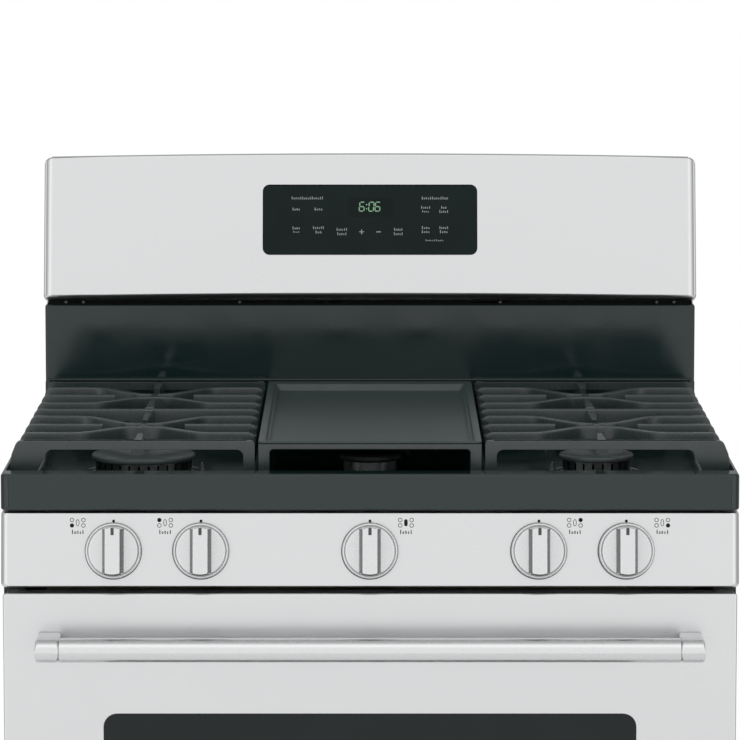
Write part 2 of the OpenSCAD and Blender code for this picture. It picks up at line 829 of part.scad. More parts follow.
module cord_gland() {
    color("#202222") from_lip() translate([gland_x, rear_y - 8, gland_z]) rotate([-90, 0, 0]) difference() {
        union() {
            translate([0, 0, 8 + sheet]) cylinder(r = gland_r + 5, h = 3);
            cylinder(r = gland_r - run_fit, h = 8 + sheet);
            translate([0, 0, 8 + sheet + 3]) cylinder(r = gland_r - 2, h = 6);
        }
        translate([0, 0, -1]) cylinder(r = 4.5, h = 30);
    }
}

// ---- control panel ----

module control_panel() {
    y_back = front_frame;
    color("#dcdddd") from_lip() difference() {
        along_x(-half_w, half_w)
            polygon([[panel_set, lip_z], [panel_foot, panel_z], [y_back, panel_z], [y_back, lip_z]]);
        along_x(-half_w + sheet, half_w - sheet)
            polygon([
                [panel_set + sheet, lip_z - sheet], [panel_foot + 1.2 * sheet, panel_z + sheet],
                [y_back + 1, panel_z + sheet], [y_back + 1, lip_z - sheet]]);
        for (x = knob_places)
            on_panel(x) translate([0, 0, -8]) cylinder(r = stem_d / 2 + 2.5, h = 12);
    }
}

module knob(x) {
    base = push_travel + 1;
    skirt = 5;
    face = base + skirt + 3;
    draft = 3;
    color("#c8caca") from_lip() on_panel(x) difference() {
        union() {
            translate([0, 0, base]) cylinder(d = knob_d, h = skirt);
            translate([0, 0, base + skirt]) cylinder(d = knob_face_d, h = 3);
            intersection() {
                translate([0, 0, face - 1]) cylinder(d = knob_face_d, h = grip_h + 1);
                rotate([90, 0, 0]) linear_extrude(knob_face_d + 2, center = true)
                    polygon([
                        [-grip_w / 2 - draft / 2, face - 1], [grip_w / 2 + draft / 2, face - 1],
                        [grip_w / 2 - draft / 2, face + grip_h], [-grip_w / 2 + draft / 2, face + grip_h]]);
            }
        }
        translate([0, 0, base - 1]) cylinder(r = stem_d / 2 + run_fit, h = 15);
    }
}

module knob_left_front() knob(knob_places[0]);

module knob_left_rear() knob(knob_places[1]);

module knob_center() knob(knob_places[2]);

module knob_right_rear() knob(knob_places[3]);

module knob_right_front() knob(knob_places[4]);

module stem(x) {
    back = valve_back - 8 - push_travel - 5;
    color("#b08d4a") from_lip() on_panel(x) translate([0, 0, -back]) cylinder(d = stem_d, h = back + push_travel + 13);
}

module stem_left_front() stem(knob_places[0]);

module stem_left_rear() stem(knob_places[1]);

module stem_center() stem(knob_places[2]);

module stem_right_rear() stem(knob_places[3]);

module stem_right_front() stem(knob_places[4]);

// ---- backguard ----

module back_riser() {
    color("#2f3736") from_lip() {
        block([-riser_half, cooktop_d, well_z - 10], [riser_half, cooktop_d + sheet, guard_z]);
        block([-riser_half, cooktop_d, guard_z - sheet], [riser_half, cooktop_d + 12, guard_z]);
        both_sides() block([riser_half - sheet, cooktop_d, well_z - 10], [riser_half, cooktop_d + 12, guard_z]);
    }
}

strip_y = cooktop_d + 3;
strip_top = fascia_z - (strip_y + sheet - fascia_y) * tan(fascia_lean) - loose_fit;
vent_pitch = 20;

module vent_strip() {
    half = guard_w / 2 - 8;
    count = floor(half / vent_pitch) - 1;
    color("#121616") from_lip() difference() {
        block([-half, strip_y, guard_z], [half, strip_y + sheet, strip_top]);
        for (i = [-count : count])
            block([i * vent_pitch - 7, strip_y - 1, guard_z + 1.5],
                [i * vent_pitch + 7, strip_y + 4, guard_z + 3.5]);
    }
}

// The fascia's outline with its arched edges, drawn inside by the distance in.
module fascia_outline(in) {
    half = guard_w / 2 - in;
    steps = 16;
    r = 8;
    bow = function (x) 1 - x * x / (half * half);
    top = [for (i = [0 : steps]) let (x = half - r - (half - r) * 2 * i / steps)
        [x, fascia_h - in - crown + crown * bow(x)]];
    bottom = [for (i = [0 : steps]) let (x = -half + r + (half - r) * 2 * i / steps)
        [x, in + (crown - 1) * bow(x)]];
    right = [for (a = [0 : 15 : 75]) [half - r + r * cos(a), fascia_h - in - crown - r + r * sin(a)]];
    left = [for (a = [105 : 15 : 180]) [-half + r + r * cos(a), fascia_h - in - crown - r + r * sin(a)]];
    polygon(concat(right, top, left, [[-half, in + 3]], bottom, [[half, in + 3]]));
}

module backguard_fascia() {
    color("#d9dbdb") from_lip() on_fascia() difference() {
        linear_extrude(fascia_return) fascia_outline(0);
        translate([0, 0, sheet]) linear_extrude(fascia_return) fascia_outline(sheet);
        translate([0, display_up, -1]) linear_extrude(sheet + 2)
            round_rect([-display_w / 2 + 20, -display_h / 2 + 14], [display_w / 2 - 20, display_h / 2 - 14], 4);
    }
}

display_up = fascia_h * 0.535;
display_t = 1.2;

module display_glass() {
    color("#1c2423") from_lip() on_fascia() translate([0, display_up, -display_t]) linear_extrude(display_t)
        round_rect([-display_w / 2, -display_h / 2], [display_w / 2, display_h / 2], 7);
}

module control_board() {
    w = display_w / 2 - 10;
    h = display_h / 2 - 6;
    color("#2f6b3c") from_lip() on_fascia() translate([0, display_up, sheet + 6]) {
        linear_extrude(1.6) round_rect([-w, -h], [w, h], 2);
        for (x = [-80, -45, 30]) block([x, -14, 1.5], [x + 22, 10, 6]);
        block([60, -20, 1.5], [90, 18, 14]);
        for (x = [-w + 8, w - 8], y = [-h + 8, h - 8]) translate([x, y, -6]) cylinder(r = 3, h = 6.5);
    }
}

module backguard_rear() {
    half = guard_w / 2 - 2.5;
    c = cos(fascia_lean);
    s = sin(fascia_lean);
    gap = fascia_return + 0.2;
    foot = [fascia_y + gap * c, fascia_z - gap * s];
    head = [foot[0] + (fascia_h - crown - 2) * s, foot[1] + (fascia_h - crown - 2) * c];
    bottom = well_z - 10;
    neck = [foot[0], guard_z + 1];
    inset = sheet * 1.1;
    color("#9a9c9c") from_lip() difference() {
        along_x(-half, half) polygon([
            [cooktop_d + 12.2, bottom], [cooktop_d + 12.2, neck[1]], neck, foot, head,
            [body_d, head[1]], [body_d, bottom]]);
        along_x(-half + sheet, half - sheet) polygon([
            [cooktop_d, bottom - 1], [cooktop_d, foot[1]], [foot[0] - 1, foot[1]],
            [head[0] - 0.5, head[1] - inset], [body_d - sheet, head[1] - inset], [body_d - sheet, bottom - 1]]);
        for (i = [-5 : 5]) block([i * 60 - 20, body_d - 4, fascia_z + 40], [i * 60 + 20, body_d + 1, fascia_z + 44]);
    }
}

// ---- door and drawer ----

module door_skin() {
    color("#dcdddd") from_lip() difference() {
        block([-door_half, door_front, door_z], [door_half, skin_back, door_top]);
        block([-door_half + sheet, door_front + sheet, door_z + sheet],
            [door_half - sheet, skin_back + 1, door_top - sheet]);
        upright(door_front - 1, sheet + 2)
            round_rect([-window_w / 2, window_z], [window_w / 2, window_z + window_h], 14);
        both_sides() block([hinge_x - 16, door_front + sheet + 1, door_z - 1],
            [hinge_x + 16, skin_back + 1, door_z + sheet + 1]);
    }
}

module door_window() {
    edge = 16;
    color("#10181a") from_lip() upright(door_front + sheet, 4)
        round_rect([-window_w / 2 - edge, window_z - edge], [window_w / 2 + edge, window_z + window_h + edge], 6);
}

module door_liner() {
    x = 345;
    top = door_top - 10;
    shrink = 36;
    color("#1d2a3f") from_lip() difference() {
        union() {
            block([-door_half, skin_back, liner_foot], [door_half, skin_back + sheet, door_top]);
            block([-x, skin_back, liner_foot], [x, door_back, top]);
        }
        block([-x + sheet, skin_back - 1, liner_foot + sheet], [x - sheet, door_back - sheet, top - sheet]);
        upright(door_back - sheet - 1, sheet + 2) round_rect([-window_w / 2 + shrink, window_z + shrink / 2],
            [window_w / 2 - shrink, window_z + window_h - shrink / 2], 14);
    }
}

module door_inner_glass() {
    edge = 16;
    color("#a9b9b5") from_lip() upright(door_back - sheet - 4, 4)
        round_rect([-window_w / 2 + edge, window_z], [window_w / 2 - edge, window_z + window_h], 6);
}

module door_handle() {
    color("#d5d7d7") from_lip() translate([-handle_half, -handle_reach + handle_d / 2, handle_z])
        rotate([0, 90, 0]) cylinder(d = handle_d, h = 2 * handle_half);
}

module door_handle_ends() {
    r = handle_d / 2;
    y = -handle_reach + r;
    color("#b9bbbb") from_lip() both_sides() {
        translate([handle_half, y, handle_z]) rotate([0, 90, 0]) cylinder(r = r, h = handle_end_w);
        block([handle_half, y, handle_z - r], [handle_half + handle_end_w, door_front, handle_z + r]);
    }
}

module door_hinges() {
    r = hinge_eye_r;
    color("#7e8081") from_lip() both_sides() difference() {
        union() {
            translate([hinge_x - hinge_eye_w / 2, pivot_y, pivot_z]) rotate([0, 90, 0])
                cylinder(r = r, h = hinge_eye_w);
            block([hinge_x - hinge_eye_w / 2, door_front + sheet, pivot_z],
                [hinge_x + hinge_eye_w / 2, pivot_y + 6, pivot_z + 110]);
            block([hinge_x - 15, door_front + sheet, pivot_z + 20],
                [hinge_x + 15, door_front + sheet + 3, pivot_z + 110]);
        }
        translate([hinge_x - 20, pivot_y, pivot_z]) rotate([0, 90, 0])
            cylinder(r = hinge_pin_d / 2 + run_fit, h = 40);
    }
}

module hinge_receivers() {
    r = hinge_eye_r - 1;
    inside = hinge_eye_w / 2 + ear_gap;
    outside = inside + ear_w;
    color("#7e8081") from_lip() both_sides() {
        for (x = [hinge_x - outside, hinge_x + inside]) {
            translate([x, pivot_y, pivot_z]) rotate([0, 90, 0]) cylinder(r = r, h = ear_w);
            block([x, pivot_y, pivot_z - r], [x + ear_w, front_frame, pivot_z + r]);
        }
        block([hinge_x - outside, front_frame - 4, pivot_z - r], [hinge_x + outside, front_frame, pivot_z + r]);
        translate([hinge_x - outside, pivot_y, pivot_z]) rotate([0, 90, 0])
            cylinder(d = hinge_pin_d, h = 2 * outside);
    }
}

// The drawer front's profile, drawn inside by the distance in.
module drawer_profile(in) {
    z0 = drawer_z + in;
    z1 = drawer_z + drawer_h - in;
    pull = 26;
    y = door_front + in;
    polygon([
        [y, z0 + 4], [y + 4, z0], [skin_back - 4, z0], [skin_back - 4, z1], [y + 14, z1], [y + 14, z1 - 5],
        [y + 6, z1 - pull], [y, z1 - pull - 6]]);
}

module drawer_front() {
    color("#dcdddd") from_lip() difference() {
        along_x(-door_half, door_half) drawer_profile(0);
        intersection() {
            along_x(-door_half + sheet, door_half - sheet) drawer_profile(sheet);
            block([-door_half, door_front, 0], [door_half, skin_back - 4 - sheet, door_z]);
        }
    }
}

module drawer_tub() {
    y0 = skin_back - 4;
    flange = inner_w - post_w - 1 - tub_half;
    color("#8f9192") from_lip() {
        difference() {
            block([-tub_half, y0, tub_z], [tub_half, y0 + tub_d, tub_top]);
            block([-tub_half + sheet, y0 + sheet, tub_z + sheet], [tub_half - sheet, y0 + tub_d - sheet, tub_top + 1]);
        }
        both_sides() block([tub_half, y0, tub_top - sheet], [tub_half + flange, y0 + tub_d, tub_top]);
    }
}

module drawer_runners() {
    top = tub_top - sheet - 0.2;
    stop = front_frame + tub_d - 50;
    color("#5b5d5e") from_lip() both_sides() difference() {
        block([tub_half + 6, front_frame + 26, top - runner_drop], [inner_w, stop, top]);
        block([tub_half + 5, front_frame + 25, top - runner_drop + 2], [inner_w - 2, stop + 1, top - 2]);
    }
}

// ---- fasteners ----

module screw_head() {
    difference() {
        union() {
            cylinder(r = 4.5, h = 1);
            translate([0, 0, 1]) cylinder(r1 = 4.5, r2 = 3, h = 1.2);
        }
        for (a = [0, 90]) rotate(a) translate([-2.2, -0.5, 1]) cube([4.4, 1, 2]);
    }
}

module body_screws() {
    color("#3a3d3d") from_lip() {
        for (x = [-half_w + 14, -130, 130, split_x - 14])
            translate([x, rear_y + sheet, foot_h + 40]) rotate([-90, 0, 0]) screw_head();
        for (x = [-half_w + 14, -130, 130, half_w - 14])
            translate([x, rear_y + sheet, lip_z - 12]) rotate([-90, 0, 0]) screw_head();
        both_sides() for (z = [200, 420, 640])
            translate([half_w - 14, rear_y + sheet, z]) rotate([-90, 0, 0]) screw_head();
        both_sides() for (i = [7.5, 16.5, 17.5])
            translate([i * vent_pitch, strip_y, (guard_z + strip_top) / 2]) rotate([90, 0, 0])
                scale(0.4) screw_head();
    }
}

base_frame();
side_panel_left();
side_panel_right();
rear_cover();
oven_liner();
oven_insulation();
oven_floor();
bake_burner();
broil_burner();
oven_lamp();
door_gasket();
cooktop();
burner_heads();
spark_electrodes();
burner_tubes();
gas_manifold();
gas_valves();
pressure_regulator();
control_panel();
vent_strip();
back_riser();
backguard_fascia();
backguard_rear();
display_glass();
control_board();
cord_gland();
hinge_receivers();
drawer_runners();
body_screws();
door_skin();
door_window();
door_liner();
door_inner_glass();
door_handle();
door_handle_ends();
door_hinges();
drawer_front();
drawer_tub();
oven_rack_upper();
oven_rack_lower();
knob_left_front();
knob_left_rear();
knob_center();
knob_right_rear();
knob_right_front();
stem_left_front();
stem_left_rear();
stem_center();
stem_right_rear();
stem_right_front();
grate_left();
grate_center();
grate_right();
griddle();
cap_left_front();
cap_left_rear();
cap_center();
cap_right_rear();
cap_right_front();
leveling_legs();
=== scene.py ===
import json
import math

import bmesh
import bpy
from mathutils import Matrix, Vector


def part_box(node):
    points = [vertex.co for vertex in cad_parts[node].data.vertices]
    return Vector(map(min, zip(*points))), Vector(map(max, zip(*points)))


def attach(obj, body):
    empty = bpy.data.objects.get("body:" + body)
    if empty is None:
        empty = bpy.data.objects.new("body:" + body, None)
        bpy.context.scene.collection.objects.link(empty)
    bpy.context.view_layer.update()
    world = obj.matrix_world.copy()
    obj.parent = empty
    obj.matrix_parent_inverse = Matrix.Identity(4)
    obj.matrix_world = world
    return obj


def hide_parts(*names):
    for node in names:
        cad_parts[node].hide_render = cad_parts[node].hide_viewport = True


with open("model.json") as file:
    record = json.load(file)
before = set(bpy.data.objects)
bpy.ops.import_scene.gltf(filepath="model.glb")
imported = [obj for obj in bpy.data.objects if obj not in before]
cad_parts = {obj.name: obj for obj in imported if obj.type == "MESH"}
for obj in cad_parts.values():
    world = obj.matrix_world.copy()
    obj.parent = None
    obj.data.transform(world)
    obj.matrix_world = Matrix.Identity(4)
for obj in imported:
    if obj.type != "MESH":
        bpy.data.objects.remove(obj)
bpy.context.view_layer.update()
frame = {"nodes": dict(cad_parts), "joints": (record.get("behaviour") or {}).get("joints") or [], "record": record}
mm = 0.001
sideways = Vector((1, 0, 0))
skyward = Vector((0, 0, 1))
record = frame["record"]
nodes = frame["nodes"]
nodeBody = {n: b for b, members in record["behaviour"]["bodies"].items() for n in members}
joints = {j["name"]: j for j in frame["joints"]}
print("frame loaded:", len(nodes), "nodes")


# every mesh helper hands back (points, faces)
def merged(*shapes):
    points, faces = [], []
    for p, f in shapes:
        start = len(points)
        points += [Vector(v) for v in p]
        faces += [[i + start for i in face] for face in f]
    return points, faces


def loft(rings, closeStart=True, closeEnd=True):
    n = len(rings[0])
    points = [Vector(p) for ring in rings for p in ring]
    faces = []
    for k in range(len(rings) - 1):
        a, b = k * n, (k + 1) * n
        faces += [[a + i, a + (i + 1) % n, b + (i + 1) % n, b + i] for i in range(n)]
    if closeStart:
        faces.append(list(range(n))[::-1])
    if closeEnd:
        faces.append([(len(rings) - 1) * n + i for i in range(n)])
    return points, faces


# outline is flat, place turns (u, v, w) into a point
def prism(outline, place, low, high):
    return loft([[place(u, v, w) for u, v in outline] for w in (low, high)])


# stands a flat outline up, facing the front
def upright(u, v, w):
    return Vector((u, w, v))


def arc(cx, cy, r, start, stop, steps):
    turns = [math.radians(start + (stop - start) * i / steps) for i in range(steps + 1)]
    return [(cx + r * math.cos(t), cy + r * math.sin(t)) for t in turns]


# evenly spaced turns round a full circle
def circle(steps):
    return [2 * math.pi * i / steps for i in range(steps)]


def roundRect(x0, y0, x1, y1, r, steps=6):
    # corners run low left, low right, high right, high left
    corners = r if isinstance(r, (list, tuple)) else [r] * 4
    a, b, c, d = [max(v, 1e-5) for v in corners]
    return (arc(x0 + a, y0 + a, a, 180, 270, steps) + arc(x1 - b, y0 + b, b, 270, 360, steps)
            + arc(x1 - c, y1 - c, c, 0, 90, steps) + arc(x0 + d, y1 - d, d, 90, 180, steps))


def lathe(profile, steps=64, place=None):
    place = place or (lambda p: p)
    rings = []
    for r, z in profile:
        rings.append([place(Vector((r * math.cos(t), r * math.sin(t), z))) for t in circle(steps)])
    return loft(rings, profile[0][0] > 0, profile[-1][0] > 0)


# a round rod through points, mitred at the corners
def tube(path, r, steps=12):
    path = [Vector(p) for p in path]
    rings = []
    side = None
    for i, p in enumerate(path):
        a = (p - path[i - 1]).normalized() if i else (path[1] - p).normalized()
        b = (path[i + 1] - p).normalized() if i < len(path) - 1 else a
        t = (a + b).normalized()
        if side is None:
            side = t.orthogonal().normalized()
        side = (side - t * side.dot(t)).normalized()
        up = t.cross(side)
        stretch = 1 / max(0.5, t.dot(a))
        bendSide = (b - a)
        ring = []
        for turn in circle(steps):
            o = side * math.cos(turn) * r + up * math.sin(turn) * r
            if bendSide.length > 1e-6:
                q = bendSide.normalized()
                o += q * o.dot(q) * (stretch - 1)
            ring.append(p + o)
        rings.append(ring)
    return loft(rings)


# the same path with its corners turned into arcs
def rounded(points, radius, steps=5):
    points = [Vector(p) for p in points]
    out = [points[0]]
    for i in range(1, len(points) - 1):
        p = points[i]
        a, b = (points[i - 1] - p), (points[i + 1] - p)
        cut = min(radius, a.length * 0.49, b.length * 0.49)
        s, e = p + a.normalized() * cut, p + b.normalized() * cut
        for k in range(steps + 1):
            t = k / steps
            out.append((s * (1 - t) + p * t) * (1 - t) + (p * (1 - t) + e * t) * t)
    return out + [points[-1]]


# a bar of flat section (sideways, up) pairs along a path, with its top on the path
def bar(path, section, upward=skyward, scales=None):
    path = [Vector(p) for p in path]
    rings = []
    for i, p in enumerate(path):
        a = (p - path[i - 1]).normalized() if i else (path[1] - p).normalized()
        b = (path[i + 1] - p).normalized() if i < len(path) - 1 else a
        t = (a + b).normalized()
        side = t.cross(upward).normalized()
        up = side.cross(t).normalized()
        stretch = min(1.6, 1 / max(0.4, t.dot(a)))
        s = scales[i] if scales else 1
        rings.append([p + side * u * s * stretch + up * v for u, v in section])
    return loft(rings)


def disc(center, right, up, r, out, thick, steps=24):
    normal = right.cross(up).normalized()
    rings = []
    for o in (0, thick):
        rings.append([center + right * r * math.cos(t) + up * r * math.sin(t) + normal * (out + o)
                      for t in circle(steps)])
    return loft(rings)


# a printed ring of the given line width
def hoop(center, right, up, rx, ry, line, thick, steps=28):
    normal = right.cross(up).normalized()
    rings = []
    for a, b, o in ((rx, ry, 0), (rx, ry, thick), (rx - line, ry - line, thick),
                    (rx - line, ry - line, 0)):
        rings.append([center + right * a * math.cos(t) + up * b * math.sin(t) + normal * o
                      for t in circle(steps)])
    return loft(rings + [rings[0]], False, False)


def dash(center, right, up, w, h, thick, r=0.3 * mm):
    normal = right.cross(up).normalized()
    outline = roundRect(-w / 2, -h / 2, w / 2, h / 2, min(r, h * 0.45, w * 0.45), 3)
    return prism(outline, lambda u, v, o: center + right * u + up * v + normal * o, 0, thick)


# a row of small strokes and loops in place of a printed word
def marks(center, right, up, width, height, count, thick):
    step = width / count
    out = []
    for k in range(count):
        x = (k + 0.5) * step - width / 2
        tall = height * (1.0, 0.62, 0.75, 0.62, 0.9)[k % 5]
        spot = center + right * x + up * ((tall - height) / 2)
        if k % 5 in (1, 2):
            out.append(hoop(spot, right, up, step * 0.36, tall / 2, step * 0.24, thick, 14))
        else:
            out.append(dash(spot, right, up, step * 0.36, tall, thick, step * 0.1))
    return out


def makePiece(name, shape, material, body, stands=(), bevel=0.0, segments=2, angle=35,
              smooth=True):
    mesh = bpy.data.meshes.new(name)
    mesh.from_pydata([tuple(p) for p in shape[0]], [], shape[1])
    bm = bmesh.new()
    bm.from_mesh(mesh)
    bmesh.ops.remove_doubles(bm, verts=bm.verts, dist=1e-6)
    bmesh.ops.recalc_face_normals(bm, faces=bm.faces)
    bm.to_mesh(mesh)
    bm.free()
    return dressed(mesh, name, material, body, stands, bevel, segments, angle, smooth)


def dressed(mesh, name, material, body, stands, bevel, segments, angle, smooth=True):
    obj = bpy.data.objects.new(name, mesh)
    bpy.context.scene.collection.objects.link(obj)
    mesh.materials.clear()
    mesh.materials.append(material)
    if smooth:
        mesh.shade_smooth()
    if bevel:
        m = obj.modifiers.new("bevel", "BEVEL")
        m.width, m.segments = bevel, segments
        m.limit_method, m.angle_limit = "ANGLE", math.radians(angle)
        m.miter_outer = "MITER_ARC"
        m.harden_normals = False
    w = obj.modifiers.new("normals", "WEIGHTED_NORMAL")
    w.keep_sharp = False
    w.weight = 80
    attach(obj, body)
    if stands:
        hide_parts(*stands)
    return obj


# a CAD node's own shape with clean flats and rounded edges, standing for the node
def refined(node, material, bevel=0.0006, segments=2, angle=35, flat=1.5):
    mesh = nodes[node].data.copy()
    bm = bmesh.new()
    bm.from_mesh(mesh)
    bmesh.ops.remove_doubles(bm, verts=bm.verts, dist=2e-6)
    if bevel > 0:
        bmesh.ops.dissolve_limit(bm, angle_limit=math.radians(flat), verts=bm.verts, edges=bm.edges)
    bm.to_mesh(mesh)
    bm.free()
    return dressed(mesh, node + "_look", material, nodeBody[node], (node,), bevel, segments,
                   angle)


def baseMaterial(name, color, roughness, metallic=0.0, **sockets):
    m = bpy.data.materials.new(name)
    m.use_nodes = True
    b = m.node_tree.nodes["Principled BSDF"]
    b.inputs["Base Color"].default_value = (*color, 1)
    b.inputs["Roughness"].default_value = roughness
    b.inputs["Metallic"].default_value = metallic
    for key, value in sockets.items():
        b.inputs[key.replace("_", " ")].default_value = value
    return m, m.node_tree, b


def noise(tree, scale, detail=3.0, stretch=(1, 1, 1), rough=0.55):
    coord = tree.nodes.new("ShaderNodeTexCoord")
    mapping = tree.nodes.new("ShaderNodeMapping")
    mapping.inputs["Scale"].default_value = stretch
    tex = tree.nodes.new("ShaderNodeTexNoise")
    tex.inputs["Scale"].default_value = scale
    tex.inputs["Detail"].default_value = detail
    tex.inputs["Roughness"].default_value = rough
    tree.links.new(coord.outputs["Object"], mapping.inputs["Vector"])
    tree.links.new(mapping.outputs["Vector"], tex.inputs["Vector"])
    return tex.outputs["Fac"]


def ramp(tree, source, low, high, start=0.35, stop=0.65):
    r = tree.nodes.new("ShaderNodeMapRange")
    r.inputs["From Min"].default_value, r.inputs["From Max"].default_value = start, stop
    r.inputs["To Min"].default_value, r.inputs["To Max"].default_value = low, high
    tree.links.new(source, r.inputs["Value"])
    return r.outputs["Result"]


def colorRamp(tree, source, stops):
    r = tree.nodes.new("ShaderNodeValToRGB")
    while len(r.color_ramp.elements) < len(stops):
        r.color_ramp.elements.new(0.5)
    for element, (place, color) in zip(r.color_ramp.elements, stops):
        element.position = place
        element.color = (*color, 1)
    tree.links.new(source, r.inputs["Fac"])
    return r.outputs["Color"]


def bump(tree, bsdf, source, distance, strength=1.0, after=None):
    n = tree.nodes.new("ShaderNodeBump")
    n.inputs["Distance"].default_value = distance
    n.inputs["Strength"].default_value = strength
    tree.links.new(source, n.inputs["Height"])
    if after:
        tree.links.new(after, n.inputs["Normal"])
    tree.links.new(n.outputs["Normal"], bsdf.inputs["Normal"])
    return n.outputs["Normal"]


# brushed sheet: long fine streaks, a slow change of tone and faint smears
def steel(name, tint=(0.70, 0.705, 0.71), along=(0.02, 1, 1), rough=(0.285, 0.31), spread=0.03):
    m, tree, b = baseMaterial(name, tint, 0.3, 1.0)
    streak = noise(tree, 2600, 4, along, 0.7)
    slow = noise(tree, 9, 3)
    dark = tuple(c * (1 - spread * 0.5) for c in tint)
    mix = tree.nodes.new("ShaderNodeMix")
    mix.data_type = "RGBA"
    mix.inputs["A"].default_value = (*dark, 1)
    mix.inputs["B"].default_value = (*tint, 1)
    tree.links.new(ramp(tree, streak, 0, 1), mix.inputs["Factor"])
    tree.links.new(mix.outputs["Result"], b.inputs["Base Color"])
    add = tree.nodes.new("ShaderNodeMath")
    add.operation = "ADD"
    tree.links.new(ramp(tree, streak, rough[0], rough[1]), add.inputs[0])
    tree.links.new(ramp(tree, slow, -0.015, 0.015), add.inputs[1])
    tree.links.new(add.outputs[0], b.inputs["Roughness"])
    bump(tree, b, streak, 0.0000015, 0.05)
    return m


# glossy fired enamel with a faint orange peel
def enamel(name, color, rough=0.1, wave=0.00006, speck=0.0):
    m, tree, b = baseMaterial(name, color, rough)
    b.inputs["IOR"].default_value = 1.52
    peel = noise(tree, 260, 2)
    slow = noise(tree, 14, 3)
    tree.links.new(ramp(tree, slow, rough * 0.75, rough * 1.4), b.inputs["Roughness"])
    lift = tuple(min(1, c * 1.25 + 0.002) for c in color)
    tree.links.new(colorRamp(tree, noise(tree, 900, 2), [(0.35, color), (0.7, lift)]),
                   b.inputs["Base Color"])
    bump(tree, b, peel, wave, 0.25)
    return m


# enamelled casting: fine pebbled grain over a slow unevenness
def castIron(name, low, high, rough=(0.38, 0.56), grain=0.00012):
    m, tree, b = baseMaterial(name, low, 0.5)
    fine = noise(tree, 1400, 3)
    blotch = noise(tree, 45, 4)
    tree.links.new(colorRamp(tree, blotch, [(0.3, low), (0.72, high)]), b.inputs["Base Color"])
    tree.links.new(ramp(tree, fine, rough[0], rough[1]), b.inputs["Roughness"])
    first = bump(tree, b, blotch, 0.0004, 0.15)
    bump(tree, b, fine, grain, 0.3, first)
    return m


# a moulded, cast or painted finish with a fine grain
def plain(name, low, high, rough=(0.4, 0.55), metallic=0.0, scale=420, height=0.00004, **sockets):
    m, tree, b = baseMaterial(name, low, rough[0], metallic, **sockets)
    grain = noise(tree, scale, 3)
    tree.links.new(colorRamp(tree, noise(tree, scale / 12, 3), [(0.3, low), (0.7, high)]),
                   b.inputs["Base Color"])
    tree.links.new(ramp(tree, grain, rough[0], rough[1]), b.inputs["Roughness"])
    bump(tree, b, grain, height, 0.3)
    return m


def glass(name, color, rough=0.03, transmission=0.0, **sockets):
    m, tree, b = baseMaterial(name, color, rough, **sockets)
    b.inputs["IOR"].default_value = 1.5
    b.inputs["Transmission Weight"].default_value = transmission
    tree.links.new(ramp(tree, noise(tree, 30, 3), rough * 0.6, rough * 1.8), b.inputs["Roughness"])
    lift = tuple(c * 1.2 + 0.001 for c in color)
    tree.links.new(colorRamp(tree, noise(tree, 22, 2), [(0.3, color), (0.75, lift)]),
                   b.inputs["Base Color"])
    return m


def glowing(name, color, strength):
    m, tree, b = baseMaterial(name, (0.02, 0.05, 0.03), 0.4)
    b.inputs["Emission Strength"].default_value = strength
    dim = tuple(c * 0.85 for c in color)
    tree.links.new(colorRamp(tree, noise(tree, 900, 2), [(0.35, dim), (0.65, color)]),
                   b.inputs["Emission Color"])
    return m


stainless = steel("stainlessSheet")
knobSteel = steel("knobSatin", (0.69, 0.695, 0.70), (1, 1, 1), (0.24, 0.3), 0.02)
knobSteel.node_tree.nodes["Principled BSDF"].inputs["Metallic"].default_value = 0.75
# dark satin finish for painted shade on the knobs: grip sides, grip heel, the gap round the face and the shadow
# ring on the panel
knobShadeSteel = plain("knobPaintedShade", (0.10, 0.104, 0.106), (0.13, 0.134, 0.136), (0.35, 0.5), 0.3)
# a darker copy of the sheet steel for the line along the fascia's top edge: painted shade
hemShadeSteel = steel("fasciaHemShade", (0.36, 0.365, 0.37), (0.02, 1, 1), (0.3, 0.42), 0.05)
barSteel = steel("handleSatin", (0.72, 0.725, 0.73), (0.03, 1, 1), (0.2, 0.3), 0.04)
zinc = steel("zincSheet", (0.5, 0.51, 0.52), (1, 1, 0.3), (0.38, 0.5), 0.1)
darkSteel = steel("hingeSteel", (0.33, 0.335, 0.34), (1, 0.2, 1), (0.35, 0.5), 0.1)
screwSteel = steel("screwSteel", (0.1, 0.102, 0.105), (1, 1, 1), (0.3, 0.45), 0.08)
chromeWire = steel("rackChrome", (0.78, 0.785, 0.79), (0.5, 0.5, 0.5), (0.08, 0.16), 0.02)
burnerSteel = steel("burnerSteel", (0.38, 0.37, 0.36), (1, 0.1, 1), (0.4, 0.55), 0.15)
blackEnamel = enamel("blackEnamel", (0.0045, 0.0125, 0.0125), 0.11)
ovenEnamel = enamel("ovenEnamel", (0.012, 0.017, 0.028), 0.2, 0.0001)
sidePaint = plain("sidePaint", (0.012, 0.013, 0.013), (0.018, 0.019, 0.019), (0.34, 0.46), 0, 1500,
                  0.00003)
grateIron = castIron("grateIron", (0.0155, 0.0245, 0.0238), (0.0215, 0.0315, 0.0308), (0.2, 0.3), 0.00004)
grateIron.node_tree.nodes["Principled BSDF"].inputs["Specular IOR Level"].default_value = 0.72
capIron = castIron("capEnamel", (0.034, 0.046, 0.045), (0.042, 0.055, 0.054), (0.34, 0.44), 0.00003)
griddleFinish = castIron("griddleCoat", (0.020, 0.032, 0.032), (0.027, 0.039, 0.039), (0.34, 0.48),
                         0.00005)
# cast aluminium darkened well below its own tone: painted shade under the grates
castAlloyShaded = plain("castAlloyShaded", (0.14, 0.15, 0.15), (0.22, 0.23, 0.23), (0.25, 0.36), 1.0, 700, 0.00005)
brass = plain("valveBrass", (0.55, 0.38, 0.14), (0.68, 0.5, 0.22), (0.25, 0.4), 1.0, 500, 0.00003)
